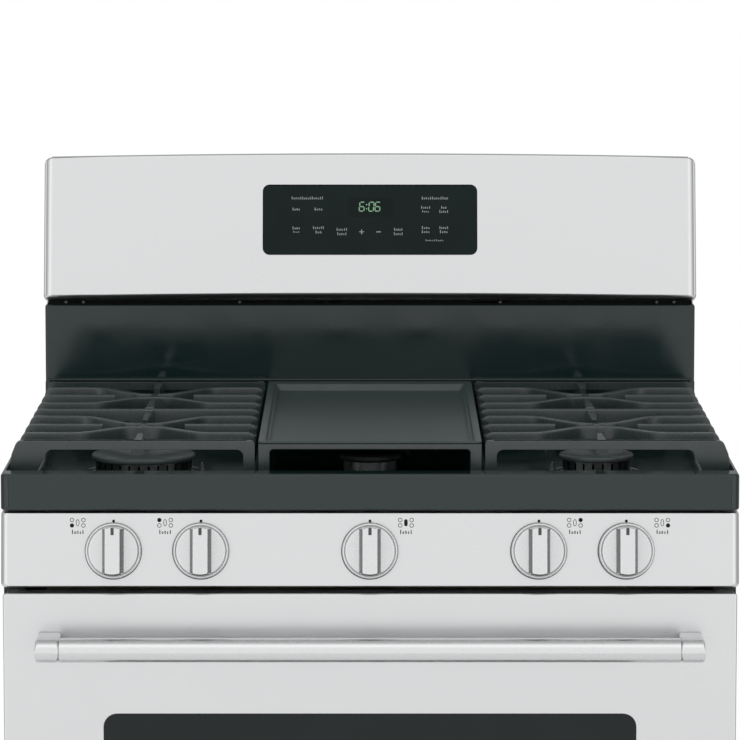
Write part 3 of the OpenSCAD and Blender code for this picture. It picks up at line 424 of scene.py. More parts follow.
# the electrode ceramic in dark grey instead of its white: painted shade in the burner wells
ceramicShaded = plain("electrodeCeramicShaded", (0.045, 0.048, 0.048), (0.07, 0.073, 0.073), (0.3, 0.45))
# near-black with weak reflection: the vent and lip seams, and painted shade behind the vent slots and round the
# display glass
ventBlackAndShade = plain("ventBlackAndShade", (0.0008, 0.001, 0.001), (0.002, 0.0024, 0.0024), (0.6, 0.75),
                  Specular_IOR_Level=0.1)
blackPlastic = plain("blackPlastic", (0.012, 0.012, 0.012), (0.02, 0.02, 0.02), (0.45, 0.6))
boardGreen = plain("boardGreen", (0.02, 0.11, 0.04), (0.04, 0.16, 0.06), (0.3, 0.45))
glassWool = plain("glassWool", (0.62, 0.56, 0.36), (0.78, 0.72, 0.52), (0.85, 0.95), 0, 160, 0.002)
tubPaint = plain("tubPaint", (0.16, 0.165, 0.17), (0.2, 0.205, 0.21), (0.35, 0.5), 0.2)
printGrey = plain("printGrey", (0.006, 0.006, 0.006), (0.012, 0.012, 0.012), (0.5, 0.6),
                  Specular_IOR_Level=0.1)
# a lighter grey for the line beside the lip seams: painted highlight of the rounded corners
lipHighlightGrey = plain("lipHighlightGrey", (0.06, 0.07, 0.07), (0.08, 0.09, 0.09), (0.5, 0.6))
slotGrey = plain("slotGrey", (0.035, 0.04, 0.04), (0.05, 0.055, 0.055), (0.5, 0.6))
printPale = plain("printPale", (0.22, 0.25, 0.25), (0.30, 0.33, 0.33), (0.5, 0.6))
braid = plain("gasketBraid", (0.22, 0.22, 0.2), (0.4, 0.4, 0.37), (0.8, 0.95), 0, 900, 0.0006)
panelGlass = glass("displayGlass", (0.001, 0.006, 0.006), 0.035, 0, Specular_IOR_Level=0.16)
clockWindow = glass("clockWindow", (0.0006, 0.0045, 0.0045), 0.05, 0, Specular_IOR_Level=0.15)
doorGlass = glass("doorGlass", (0.003, 0.006, 0.006), 0.03, 0, Specular_IOR_Level=0.3)
clearGlass = glass("clearGlass", (0.75, 0.82, 0.80), 0.02, 0.9)
lampGlass = glass("lampGlass", (0.9, 0.86, 0.76), 0.1, 0.5)
clockGreen = glowing("clockGreen", (0.2, 0.37, 0.21), 1.0)
print("materials made")


# places taken from the frame
cooktopLow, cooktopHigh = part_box("cooktop")
lipY = cooktopLow.y
halfW = cooktopHigh.x
grateLow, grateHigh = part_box("grate_left")
grateY, grateEnd, grateTop, wellZ = grateLow.y, grateHigh.y, grateHigh.z, grateLow.z
panelLow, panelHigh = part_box("control_panel")
riserLow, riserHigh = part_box("back_riser")
fasciaLow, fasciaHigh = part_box("backguard_fascia")
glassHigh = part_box("display_glass")[1]
knobNames = ["left_front", "left_rear", "center", "right_rear", "right_front"]
lipZ = cooktopLow.z
lipTop = grateTop - 26 * mm


def makeCooktop():
    p = {"cornerR": 8 * mm, "edgeR": 3.0 * mm, "footR": 2.5 * mm, "shelf": 28 * mm, "slope": 24 * mm,
         "rim": 4 * mm, "upstand": 1.5 * mm, "raise": 3 * mm, "bead": 1.1 * mm}
    rear = cooktopHigh.y - p["upstand"]
    rings = []
    low = lipZ + p["raise"]

    def ring(side, front, z, r):
        outline = roundRect(-halfW + side, lipY + front, halfW - side, rear, [r, r, 0.0005, 0.0005], 8)
        rings.append([Vector((x, y, z)) for x, y in outline])

    r, e, f = p["cornerR"], p["edgeR"], p["footR"]
    ring(f + 2 * mm, f + 2 * mm, low, r - f - 2 * mm)
    ring(f, f, low, r - f)
    for k in (30, 60, 90):
        a = math.radians(k)
        ring(f * (1 - math.sin(a)), f * (1 - math.sin(a)), low + f * (1 - math.cos(a)),
             r - f * (1 - math.sin(a)))
    ring(0, 0, (lipZ + lipTop) / 2, r)
    for k in (0, 22, 45, 67, 90):
        a = math.radians(k)
        i = e * (1 - math.cos(a))
        ring(min(i, p["rim"] * 0.5), i, lipTop - e + e * math.sin(a), max(0.5 * mm, r - i))
    inner = [(0.9, -1.5, 0.0), (1.0, -0.3, 0.3), (1.0, 1.2, 1.4)]
    for side, front, drop in inner:
        ring(p["rim"] * side * 0.92, p["shelf"] + front * mm, lipTop - drop * mm, 5 * mm)
    slopeEnd = p["shelf"] + p["slope"]
    ring(p["rim"] + 0.4 * mm, slopeEnd - 3 * mm, wellZ + 3.0 * mm, 5 * mm)
    ring(p["rim"] + 0.9 * mm, slopeEnd - 0.5 * mm, wellZ + 0.8 * mm, 5 * mm)
    ring(p["rim"] + 2.2 * mm, slopeEnd + 2 * mm, wellZ, 5 * mm)
    skin = loft(rings, False, True)
    back = cooktopHigh.y
    upstand = prism(roundRect(riserLow.x, lipZ + 2 * mm, riserHigh.x, cooktopHigh.z,
                              [0.001, 0.001, 4 * mm, 4 * mm]),
                    upright, back - p["upstand"] - 1.5 * mm, back)
    beadAt = Vector((0, back - 3.4 * mm, cooktopHigh.z - p["bead"]))
    reach = Vector((riserHigh.x - 4 * mm, 0, 0))
    bead = tube([beadAt - reach, beadAt + reach], p["bead"], 12)
    makePiece("cooktop_look", merged(skin, upstand), blackEnamel, "chassis", ["cooktop"],
              0.5 * mm, 2, 50)
    makePiece("upstand_edge", bead, blackEnamel, "chassis")
    up = skyward
    tall = lipTop - low - 9 * mm
    # near each end of the lip a dark line for the corner seam and a lighter line beside it, a painted highlight
    for side in (-1, 1):
        for offset, line, material in ((8.0, 0.5, ventBlackAndShade), (7.3, 0.5, lipHighlightGrey)):
            spot = Vector((side * (halfW - offset * mm), lipY + 0.04 * mm, (low + lipTop) / 2))
            cornerLine = dash(spot, sideways, up, line * mm, tall, 0.08 * mm, 0.1 * mm)
            makePiece("lip_seam_and_highlight_%d_%d" % (side + 1, offset), cornerLine, material, "chassis")


def makeWellRings():
    p = {"rise": 1.6 * mm, "width": 7 * mm, "gap": 8 * mm}
    steps = 72
    for name in knobNames:
        low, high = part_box("cap_" + name)
        if name == "center":
            continue
        c = (low + high) / 2
        r = (high.x - low.x) / 2 + p["gap"]
        profile = [(r - 1 * mm, -0.3 * mm), (r + 1 * mm, p["rise"] * 0.6), (r + 3 * mm, p["rise"]),
                   (r + p["width"] - 2 * mm, p["rise"] * 0.8), (r + p["width"], -0.3 * mm)]
        shape = lathe(profile, steps, lambda v: Vector((c.x + v.x, c.y + v.y, wellZ + v.z)))
        n = steps
        shape = (shape[0], [face for face in shape[1] if len(face) == 4]
                 + [[i, (i + 1) % n, 4 * n + (i + 1) % n, 4 * n + i] for i in range(n)])
        makePiece("well_ring_" + name, shape, blackEnamel, "chassis")


makeCooktop()
makeWellRings()
print("cooktop made")


def makeCaps():
    p = {"under": 3 * mm}
    for name in knobNames:
        low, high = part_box("cap_" + name)
        c = (low + high) / 2
        base, top = low.z + p["under"], high.z
        body = "cap_body_" + name
        if name == "center":
            rings = []
            w = (high.x - low.x) / 2
            for inset, z in [(3, base - 1.5 * mm), (0.4, base), (0, base + 1 * mm), (0, top - 3 * mm),
                             (0.5, top - 1.8 * mm), (1.8, top - 0.7 * mm), (4, top), (12, top)]:
                i = inset * mm
                outline = roundRect(low.x + i, low.y + i, high.x - i, high.y - i, w - i, 14)
                rings.append([Vector((x, y, z)) for x, y in outline])
            shape = loft(rings)
        else:
            r = (high.x - low.x) / 2
            profile = [(r - 14 * mm, low.z), (r - 11.5 * mm, low.z), (r - 11.5 * mm, base),
                       (r - 2 * mm, base), (r - 0.5 * mm, base + 0.5 * mm), (r, base + 1.5 * mm),
                       (r, top - 3.4 * mm), (r - 0.5 * mm, top - 2.2 * mm),
                       (r - 1.6 * mm, top - 1.4 * mm),
                       (r - 4.5 * mm, top - 0.8 * mm), (r * 0.72, top - 0.4 * mm),
                       (r * 0.4, top - 0.1 * mm), (0.3 * mm, top)]
            shape = lathe(profile, 96, lambda v: Vector((c.x + v.x, c.y + v.y, v.z)))
        makePiece("cap_look_" + name, shape, capIron, body, ["cap_" + name])


def makeElectrodes():
    p = {"r": 2.6 * mm, "collar": 4 * mm, "wire": 0.7 * mm}
    shapes, wires = [], []
    for name in knobNames:
        low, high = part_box("cap_" + name)
        c = (low + high) / 2
        half = (high.x - low.x) / 2 + 7 * mm
        x = c.x + (-half if c.x > 0.01 else half)
        spot = Vector((x, c.y, wellZ))
        profile = [(p["collar"], 0), (p["collar"], 3.5 * mm), (3.4 * mm, 5 * mm), (p["r"], 5.4 * mm),
                   (p["r"], 8.6 * mm), (1.2 * mm, 9.6 * mm)]
        shapes.append(lathe(profile, 24, lambda v: v + spot))
        wires.append(tube([spot + Vector((0, 0, 9 * mm)), spot + Vector((0, 0, 11.8 * mm))], p["wire"],
                          10))
    makePiece("electrodes_look", merged(*shapes), ceramicShaded, "chassis",
              ["spark_electrodes"])
    makePiece("electrode_tips", merged(*wires), darkSteel, "chassis")


makeCaps()
makeElectrodes()
refined("burner_heads", castAlloyShaded, 0.3 * mm, 2)
print("burners made")


# a cast bar seen from its end: a rounded top and tapering sides, with its top at zero
def barSection(w, h, r=1.5 * mm, draft=1.0 * mm):
    half = w / 2
    top = arc(half - draft - r, -r, r, 0, 90, 4) + arc(-half + draft + r, -r, r, 90, 180, 4)
    return [(half, -h)] + top + [(-half, -h)]


def sideGrateShapes():
    p = {"w": 10.5 * mm, "h": 13 * mm, "waist": 11.5 * mm, "bend": 62 * mm, "flat": 17 * mm,
         "finger": 44 * mm,
         "rows": [62, 130, 195, 252, 309, 374, 442], "endR": 9 * mm, "beam": 8.5 * mm}
    outX = grateLow.x + 5.5 * mm
    inX = grateHigh.x
    outEdge = grateLow.x + 4.5 * mm
    capLow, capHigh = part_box("cap_left_front")
    c = (capLow.x + capHigh.x) / 2
    y0, top = grateY, grateTop
    section = barSection(p["w"], p["h"])
    half = p["w"] / 2
    shapes = []

    # a bar across the grate whose ends round down onto the side rails
    def addLateral(points, startDown=True, endDown=True):
        r = p["endR"]
        turns = [math.radians(90 * k / 5) for k in range(6)]
        path = [Vector((x, y, top)) for x, y in points]
        if startDown:
            path = [path[0] + Vector((r * (1 - math.cos(t)), 0, r * (math.sin(t) - 1)))
                    for t in turns] + path[1:]
        if endDown:
            last = path.pop()
            path += [last + Vector((r * (math.cos(t) - 1), 0, r * (math.sin(t) - 1)))
                     for t in turns[::-1]]
        shapes.append(bar(path, section))

    def straight(points):
        shapes.append(bar([Vector((x, y, top)) for x, y in points], section))

    rowY = [y0 + v * mm + half for v in p["rows"]]
    burners = [(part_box("cap_left_front"), 0), (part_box("cap_left_rear"), 4)]
    for (low, high), first in burners:
        by = (low.y + high.y) / 2
        near, far, mid = rowY[first], rowY[first + 2], by + half
        for row, side in ((near, -1), (far, 1)):
            waistY = by + side * p["waist"]
            corner = [(outX, row), (c - p["bend"], row), (c - p["flat"], waistY),
                      (c + p["flat"], waistY), (c + p["bend"], row), (inX, row)]
            smooth = rounded([Vector((x, y, 0)) for x, y in corner], 16 * mm, 4)
            addLateral([(q.x, q.y) for q in smooth])
        addLateral([(outX, mid), (c - p["finger"] - 8 * mm, mid), (c - p["finger"], mid)], True, False)
        addLateral([(c + p["finger"], mid), (c + p["finger"] + 8 * mm, mid), (inX, mid)], False, True)
        straight([(c, by - p["waist"]), (c, by + p["waist"])])
    addLateral([(outX, rowY[3]), (c, rowY[3]), (inX, rowY[3])])
    section = barSection(p["w"], p["beam"])
    for y in (y0 + half, grateEnd - half):
        addLateral([(outEdge, y), (c, y), (inX, y)])
    section = barSection(p["w"], p["h"])

    # a pot finger along the depth, narrower at its free end
    def finger(yA, yB, wide, thin):
        n = 6
        pts = [Vector((c, yA + (yB - yA) * k / n, top)) for k in range(n + 1)]
        scales = [wide + (thin - wide) * k / n for k in range(n + 1)]
        shapes.append(bar(pts, section, scales=scales))

    finger(y0 + half, y0 + 64 * mm, 1.3, 0.75)
    finger(grateEnd - half, rowY[6] - 6 * mm, 1.3, 0.75)
    finger(rowY[3], rowY[1] + 34 * mm, 1.3, 0.65)
    finger(rowY[3], rowY[5] - 34 * mm, 1.3, 0.65)

    railSection = barSection(7.2 * mm, 16 * mm, 1.6 * mm, 0.6 * mm)
    for x in (outX + 3.1 * mm, inX - 3.6 * mm):
        ends = (y0 + 2 * mm, grateEnd - 2 * mm)
        shapes.append(bar([Vector((x, y, top - 9 * mm)) for y in ends], railSection))
    return shapes


def makeSideGrates():
    p = {"w": 10.5 * mm, "windowR": 7 * mm, "leg": 12 * mm, "outerLeg": 24 * mm, "slant": 6 * mm}
    parts = sideGrateShapes()
    footX, inX = grateLow.x, grateHigh.x
    outX = footX + 4.5 * mm
    top, bottom, beam = grateTop, wellZ, grateTop - 9 * mm
    r = p["windowR"]
    innerOut, innerIn = outX + 32 * mm, inX - p["leg"]
    low = beam - 22 * mm
    outline = ([(footX, bottom), (footX, top - 20 * mm), (footX + 1.5 * mm, top - 13 * mm)]
               + arc(outX + 7 * mm, top - 7 * mm, 7 * mm, 165, 90, 5)
               + arc(inX - 4 * mm, top - 4 * mm, 4 * mm, 90, 0, 4)
               + [(inX, bottom), (inX - p["leg"], bottom)]
               + arc(innerIn - r, beam - r, r, 0, 90, 4) + arc(innerOut + r, beam - r, r, 90, 170, 4)
               + [(innerOut - p["slant"] - 2 * mm, low), (footX + p["outerLeg"], bottom)])
    for y in (grateY, grateEnd - p["w"]):
        parts.append(prism(outline, upright, y, y + p["w"]))
    shape = merged(*parts)
    makePiece("grate_left_look", shape, grateIron, "grate_left_body", ["grate_left"],
              1.1 * mm, 2, 40)
    mirrored = ([Vector((-v.x, v.y, v.z)) for v in shape[0]], [f[::-1] for f in shape[1]])
    makePiece("grate_right_look", mirrored, grateIron, "grate_right_body", ["grate_right"],
              1.1 * mm, 2, 40)


def makeCenterGrate():
    low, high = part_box("grate_center")
    p = {"w": 10.5 * mm, "leg": 12 * mm, "beam": 6 * mm, "r": 4 * mm}
    top, bottom = high.z, wellZ
    x0, x1 = low.x, high.x
    r, beam = p["r"], high.z - p["beam"]
    outline = ([(x0, bottom), (x0, top), (x1, top), (x1, bottom), (x1 - p["leg"], bottom)]
               + arc(x1 - p["leg"] - r, beam - r, r, 0, 90, 4)
               + arc(x0 + p["leg"] + r, beam - r, r, 90, 180, 4)
               + [(x0 + p["leg"], bottom)])
    parts = [prism(outline, upright, y, y + p["w"]) for y in (grateY, grateEnd - p["w"])]
    section = barSection(9 * mm, 20 * mm, 2 * mm, 0.8 * mm)
    for x in (x0 + 4.6 * mm, x1 - 4.6 * mm):
        ends = (grateY + 1 * mm, grateEnd - 1 * mm)
        parts.append(bar([Vector((x, y, top - 0.4 * mm)) for y in ends], section))
    cross = barSection(10 * mm, 8 * mm, 2 * mm, 0.8 * mm)
    for v in (130, 252, 374):
        y = grateY + (v + 5) * mm
        ends = (x0 + 2 * mm, x1 - 2 * mm)
        parts.append(bar([Vector((x, y, grateTop - 17.2 * mm)) for x in ends], cross))
    makePiece("grate_center_look", merged(*parts), grateIron, "grate_center_body",
              ["grate_center"], 1.0 * mm, 2, 40)


def makeGriddle():
    low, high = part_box("griddle")
    p = {"rim": 3 * mm, "edgeR": 1.3 * mm, "lip": 8 * mm, "wall": 4 * mm, "pan": 8 * mm,
         "cornerR": 4 * mm,
         "ledge": 26 * mm}
    rings = []

    def ring(inset, z, r, front=0.0, back=0.0):
        outline = roundRect(low.x + inset, low.y + inset + front, high.x - inset, high.y - inset - back,
                            r, 6)
        rings.append([Vector((x, y, z)) for x, y in outline])

    top, e = high.z, p["edgeR"]
    base = low.z
    ring(26 * mm, base, 3 * mm)
    ring(18 * mm, base, 6 * mm)
    ring(11.4 * mm, base + 4.5 * mm, 6 * mm)
    ring(11.2 * mm, top - p["rim"], 5 * mm)
    ring(0.6 * mm, top - p["rim"], p["cornerR"])
    ring(0, top - p["rim"] + 0.6 * mm, p["cornerR"])
    for k in (0, 30, 60, 90):
        a = math.radians(k)
        ring(e * (1 - math.cos(a)), top - e + e * math.sin(a), p["cornerR"] - e * (1 - math.cos(a)))
    back = p["ledge"] - p["lip"]
    ring(p["lip"] - 1.5 * mm, top - 0.05 * mm, 4 * mm, -3.5 * mm, back)
    ring(p["lip"], top - 0.5 * mm, 4.5 * mm, -3.5 * mm, back)
    ring(p["lip"] + p["wall"] - 1.2 * mm, top - p["pan"] + 0.9 * mm, 6 * mm, -1.5 * mm, back)
    ring(p["lip"] + p["wall"], top - p["pan"] + 0.25 * mm, 6 * mm, -1.5 * mm, back)
    ring(p["lip"] + p["wall"] + 2.5 * mm, top - p["pan"], 6 * mm, -1.5 * mm, back)
    makePiece("griddle_look", loft(rings), griddleFinish, "griddle_body", ["griddle"])


makeSideGrates()
makeCenterGrate()
makeGriddle()
print("grates made")


panelTilt = math.radians(8)
panelUp = Vector((0, math.sin(panelTilt), math.cos(panelTilt)))
panelOut = Vector((0, -math.cos(panelTilt), math.sin(panelTilt)))
panelTopEdge = Vector((0, lipY + 2 * mm, panelHigh.z))


# a point on the sloping panel: x across, down from its top edge, out in front of its face
def onPanel(x, down, out):
    return panelTopEdge + Vector((x, 0, 0)) - panelUp * down + panelOut * out


def makePanel():
    p = {"sideR": 8 * mm, "edgeR": 2.2 * mm, "gap": -1.8 * mm, "cornerR": 5 * mm}
    long = (panelHigh.z - panelLow.z) / math.cos(panelTilt)
    rings = []
    for k in (0, 15, 30, 45, 60, 75, 90):
        a = math.radians(k)
        side, edge = p["sideR"] * (1 - math.sin(a)), p["edgeR"] * (1 - math.sin(a))
        corners = [3 * mm, 3 * mm, p["cornerR"], p["cornerR"]]
        outline = roundRect(-halfW + side, p["gap"] + edge, halfW - side, long - edge, corners, 6)
        ring = []
        for x, down in outline:
            nearSide = max(0.0, min(1.0, (abs(x) - (halfW - 14 * mm)) / (5 * mm)))
            depth = p["edgeR"] + (p["sideR"] - p["edgeR"]) * nearSide
            ring.append(onPanel(x, down, -depth * (1 - math.cos(a))))
        rings.append(ring)
    rings.append([Vector((v.x, panelHigh.y, min(max(v.z, panelLow.z), panelHigh.z))) for v in rings[-1]])
    makePiece("control_panel_look", loft(rings, True, False), stainless, "chassis",
              ["control_panel"])


# burner maps beside the knobs: four rings round an oval, the lit one filled
def makePanelPrint():
    p = {"ringR": 2.2 * mm, "line": 0.62 * mm, "spreadX": 5.9 * mm, "spreadZ": 2.8 * mm,
         "offset": 37 * mm,
         "down": 9.6 * mm, "thick": 0.1 * mm, "wordDown": 19.0 * mm, "dotDown": 7.8 * mm,
         "dotR": 1.5 * mm}
    right = sideways
    lit = {"left_front": (-1, -1), "left_rear": (-1, 1), "center": (0, 0), "right_rear": (1, 1),
           "right_front": (1, -1)}
    shapes = []
    for name in knobNames:
        low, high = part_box("knob_" + name)
        x = (low.x + high.x) / 2
        shapes.append(disc(onPanel(x, p["dotDown"], 0), right, panelUp, p["dotR"], 0, p["thick"]))
        side = -1 if name.startswith("left") else 1
        mapX = x + side * p["offset"]
        for sx in (-1, 1):
            for sz in (-1, 1):
                spot = onPanel(mapX + sx * p["spreadX"], p["down"] - sz * p["spreadZ"], 0)
                if lit[name] == (sx, sz):
                    shapes.append(disc(spot, right, panelUp, p["ringR"], 0, p["thick"]))
                else:
                    shapes.append(hoop(spot, right, panelUp, p["ringR"], p["ringR"], p["line"],
                                       p["thick"]))
        spot = onPanel(mapX, p["down"], 0)
        if name == "center":
            shapes.append(dash(spot, right, panelUp, 3.6 * mm, 7.2 * mm, p["thick"], 1.7 * mm))
        else:
            shapes.append(hoop(spot, right, panelUp, 1.8 * mm, 3.6 * mm, p["line"], p["thick"]))
        shapes += marks(onPanel(mapX, p["wordDown"], 0), right, panelUp, 13.5 * mm, 4.4 * mm, 5,
                        p["thick"])
    makePiece("panel_print", merged(*shapes), printGrey, "chassis")


# turns a knob's own frame, with z out of the panel, into the row frame
def knobPlace(name):
    joint = joints[name + "_turn"]
    out = Vector(joint["axis"]).normalized()
    right = sideways
    up = out.cross(right).normalized()
    centre = Vector(joint["pos_m"])
    return lambda v: centre + right * v.x + up * v.y + out * v.z


def makeKnobs():
    p = {"base": 4 * mm, "skirt": 5 * mm, "face": 3 * mm, "grip": 16 * mm, "skirtR": 28.7 * mm,
         "faceR": 25.8 * mm,
         "gripW": 18.4 * mm, "draft": 2.8 * mm, "markW": 3.3 * mm, "markH": 7.3 * mm, "shade": 0.3 * mm}
    base = p["base"]
    shoulder = base + p["skirt"]
    face = shoulder + p["face"]
    tip = face + p["grip"]
    for name in knobNames:
        place = knobPlace(name)
        outerR, r = p["skirtR"], p["faceR"]
        profile = [(6 * mm, base + 2 * mm), (outerR - 3 * mm, base + 2 * mm), (outerR - 2.5 * mm, base),
                   (outerR - 0.8 * mm, base), (outerR - 0.2 * mm, base + 0.6 * mm),
                   (outerR, base + 1.4 * mm),
                   (outerR - 0.1 * mm, shoulder - 1.3 * mm), (outerR - 0.8 * mm, shoulder - 0.3 * mm),
                   (outerR - 1.7 * mm, shoulder), (r + 0.6 * mm, shoulder),
                   (r + 0.1 * mm, shoulder + 0.4 * mm),
                   (r - 0.2 * mm, face - 1.0 * mm), (r - 0.8 * mm, face - 0.25 * mm),
                   (r - 1.8 * mm, face), (r * 0.6, face), (0.2 * mm, face)]
        body = lathe(profile, 96, place)
        rings = []
        half = p["gripW"] / 2
        draft, tall = p["draft"] / 2, p["grip"]
        for grow, drop in ((draft + 1.0 * mm, -0.6 * mm), (draft, 0.6 * mm), (0.2 * mm, tall * 0.5),
                           (-draft + 0.2 * mm, tall - 1.6 * mm), (-draft - 0.1 * mm, tall - 0.6 * mm),
                           (-draft - 0.7 * mm, tall - 0.1 * mm), (-draft - 1.4 * mm, tall)):
            w = half + grow
            reach = r - 0.5 * mm - max(0, drop - tall * 0.6) * 0.25
            end = math.sqrt(max(reach * reach - w * w, 1e-6))
            arcDeg = math.degrees(math.atan2(w, end))
            points = []
            for middle in (90, 270):
                points += arc(0, 0, reach, middle - arcDeg, middle + arcDeg, 8)
            rings.append([place(Vector((x, y, face + drop))) for x, y in points])
        grip = loft(rings)
        makePiece("knob_look_" + name, merged(body, grip), knobSteel, "knob_body_" + name,
                  ["knob_" + name])
        # dark bands along both sides of the grip: painted shade
        shadeBands = []
        for side in (-1, 1):
            low, high = half + draft + p["shade"], half - draft + 0.2 * mm + p["shade"]
            end = math.sqrt((r - 0.8 * mm) ** 2 - low * low)
            section = [(low, face + 0.2 * mm), (high, tip - 1.8 * mm), (high - 1 * mm, tip - 1.8 * mm),
                       (low - 1 * mm, face + 0.2 * mm)]
            shadeBands.append(loft([[place(Vector((side * x, y, z))) for x, z in section]
                                for y in (-side * end, side * end)]))
        # a dark crescent at the grip's lower end: painted shade
        heelShade = [(r - 0.35 * mm, face + 0.2 * mm), (r - 0.35 * mm, face + tall * 0.6),
                (r - 1.7 * mm, tip - 1 * mm), (r - 3 * mm, tip - 1 * mm), (r - 2 * mm, face + 0.2 * mm)]
        spread = math.degrees(math.asin(half / r))
        turns = [math.radians(270 - spread + 2 * spread * k / 10) for k in range(11)]
        shadeBands.append(loft([[place(Vector((x * math.cos(t), x * math.sin(t), z))) for x, z in heelShade]
                            for t in turns]))
        # a dark ring in the gap between the skirt and the face: painted shade
        grooveShade = [(r + 0.1 * mm, shoulder - 0.3 * mm), (r + 0.1 * mm, shoulder + 0.1 * mm),
                  (r + 0.9 * mm, shoulder + 0.1 * mm), (r + 0.9 * mm, shoulder - 0.3 * mm)]
        shadeBands.append(lathe(grooveShade, 96, place))
        makePiece("knob_painted_shade_" + name, merged(*shadeBands), knobShadeSteel, "knob_body_" + name)
        # a thin dark ring on the panel just outside the skirt, shifted down and left: painted shadow of the knob
        shadowRing = [(outerR - 3 * mm, 0.1 * mm), (outerR - 3 * mm, 0.7 * mm), (outerR + 0.5 * mm, 0.7 * mm),
                (outerR + 0.8 * mm, 0.1 * mm)]
        lower = Vector((-0.3 * mm, -0.35 * mm, 0))
        makePiece("knob_shadow_ring_" + name, lathe(shadowRing, 96, lambda v: place(v + lower)), knobShadeSteel, "chassis")
        outline = roundRect(-p["markW"] / 2, -p["markH"] / 2, p["markW"] / 2, p["markH"] / 2, 0.5 * mm, 4)
        markY = r - 2.0 * mm - p["markH"] / 2
        mark = prism(outline, lambda u, v, w: place(Vector((u, v + markY, w))), tip - 1.2 * mm,
                     tip + 0.06 * mm)
        makePiece("knob_mark_" + name, mark, slotGrey, "knob_body_" + name)


makePanel()
makePanelPrint()
makeKnobs()
print("control panel made")


fasciaLean = math.radians(13)
fasciaUp = Vector((0, math.sin(fasciaLean), math.cos(fasciaLean)))
fasciaOut = Vector((0, -math.cos(fasciaLean), math.sin(fasciaLean)))
fasciaReturn = 30 * mm
fasciaFoot = Vector((0, fasciaLow.y, fasciaLow.z + fasciaReturn * math.sin(fasciaLean)))
fasciaLong = (fasciaHigh.z - fasciaFoot.z) / math.cos(fasciaLean)
fasciaHalf = fasciaHigh.x


def onFascia(x, up, out):
    return fasciaFoot + Vector((x, 0, 0)) + fasciaUp * up + fasciaOut * out


def fasciaOutline(inset, top, bottom, cornerR=8 * mm, crown=4 * mm, sag=3 * mm, steps=24):
    half = fasciaHalf - inset
    r = max(cornerR - inset, 0.5 * mm)

    def bow(x):
        return 1 - (x / fasciaHalf) ** 2

    high = fasciaLong - crown - top
    points = arc(half - r, high - r, r, 0, 75, 5)
    across = [2 * i / steps for i in range(steps + 1)]
    points += [(x, high + crown * bow(x)) for x in [(half - r) * (1 - u) for u in across]]
    points += arc(-half + r, high - r, r, 105, 180, 5)
    s = 2.5 * mm
    points += [(-half, bottom + s), (-half + s * 0.3, bottom + s * 0.3)]
    points += [(x, bottom + sag * bow(x)) for x in [(half - s) * (u - 1) for u in across]]
    points += [(half - s * 0.3, bottom + s * 0.3), (half, bottom + s)]
    return points


def makeFascia():
    p = {"sideR": 11 * mm, "edgeR": 3 * mm, "back": fasciaReturn, "bead": 1.0 * mm}
    rings = []
    for k in (0, 15, 30, 45, 60, 75, 90):
        a = math.radians(k)
        side = p["sideR"] * (1 - math.sin(a))
        edge = p["edgeR"] * (1 - math.sin(a))
        drop = 1 - math.cos(a)
        outline = fasciaOutline(side, edge, edge)
        ring = []
        for x, up in outline:
            nearSide = max(0.0, min(1.0, (abs(x) - (fasciaHalf - 17 * mm)) / (6 * mm)))
            depth = (p["edgeR"] + (p["sideR"] - p["edgeR"]) * nearSide) * drop
            ring.append(onFascia(x, up, -depth))
        rings.append(ring)
    rings.append([onFascia(x, up, -p["back"]) for x, up in fasciaOutline(0, 0, 0)])
    rings.append([onFascia(x, up, -p["back"]) for x, up in fasciaOutline(1.5 * mm, 1.5 * mm, 1.5 * mm)])
    rings.append([onFascia(x, up, -4 * mm) for x, up in fasciaOutline(1.5 * mm, 1.5 * mm, 1.5 * mm)])
    makePiece("fascia_look", loft(rings), stainless, "chassis", ["backguard_fascia"])
    # a thin dark bead along the fascia's top edge: painted shade on the rounded edge
    bead = p["bead"]
    reach = fasciaHalf - 9 * mm
    high = fasciaLong - 4 * mm - bead * 1.15
    xs = [reach * (k / 16 - 1) for k in range(33)]
    path = [onFascia(x, high + 4 * mm * (1 - (x / fasciaHalf) ** 2), -bead * 1.2) for x in xs]
    makePiece("fascia_hem_shade", tube(path, bead, 12), hemShadeSteel, "chassis")


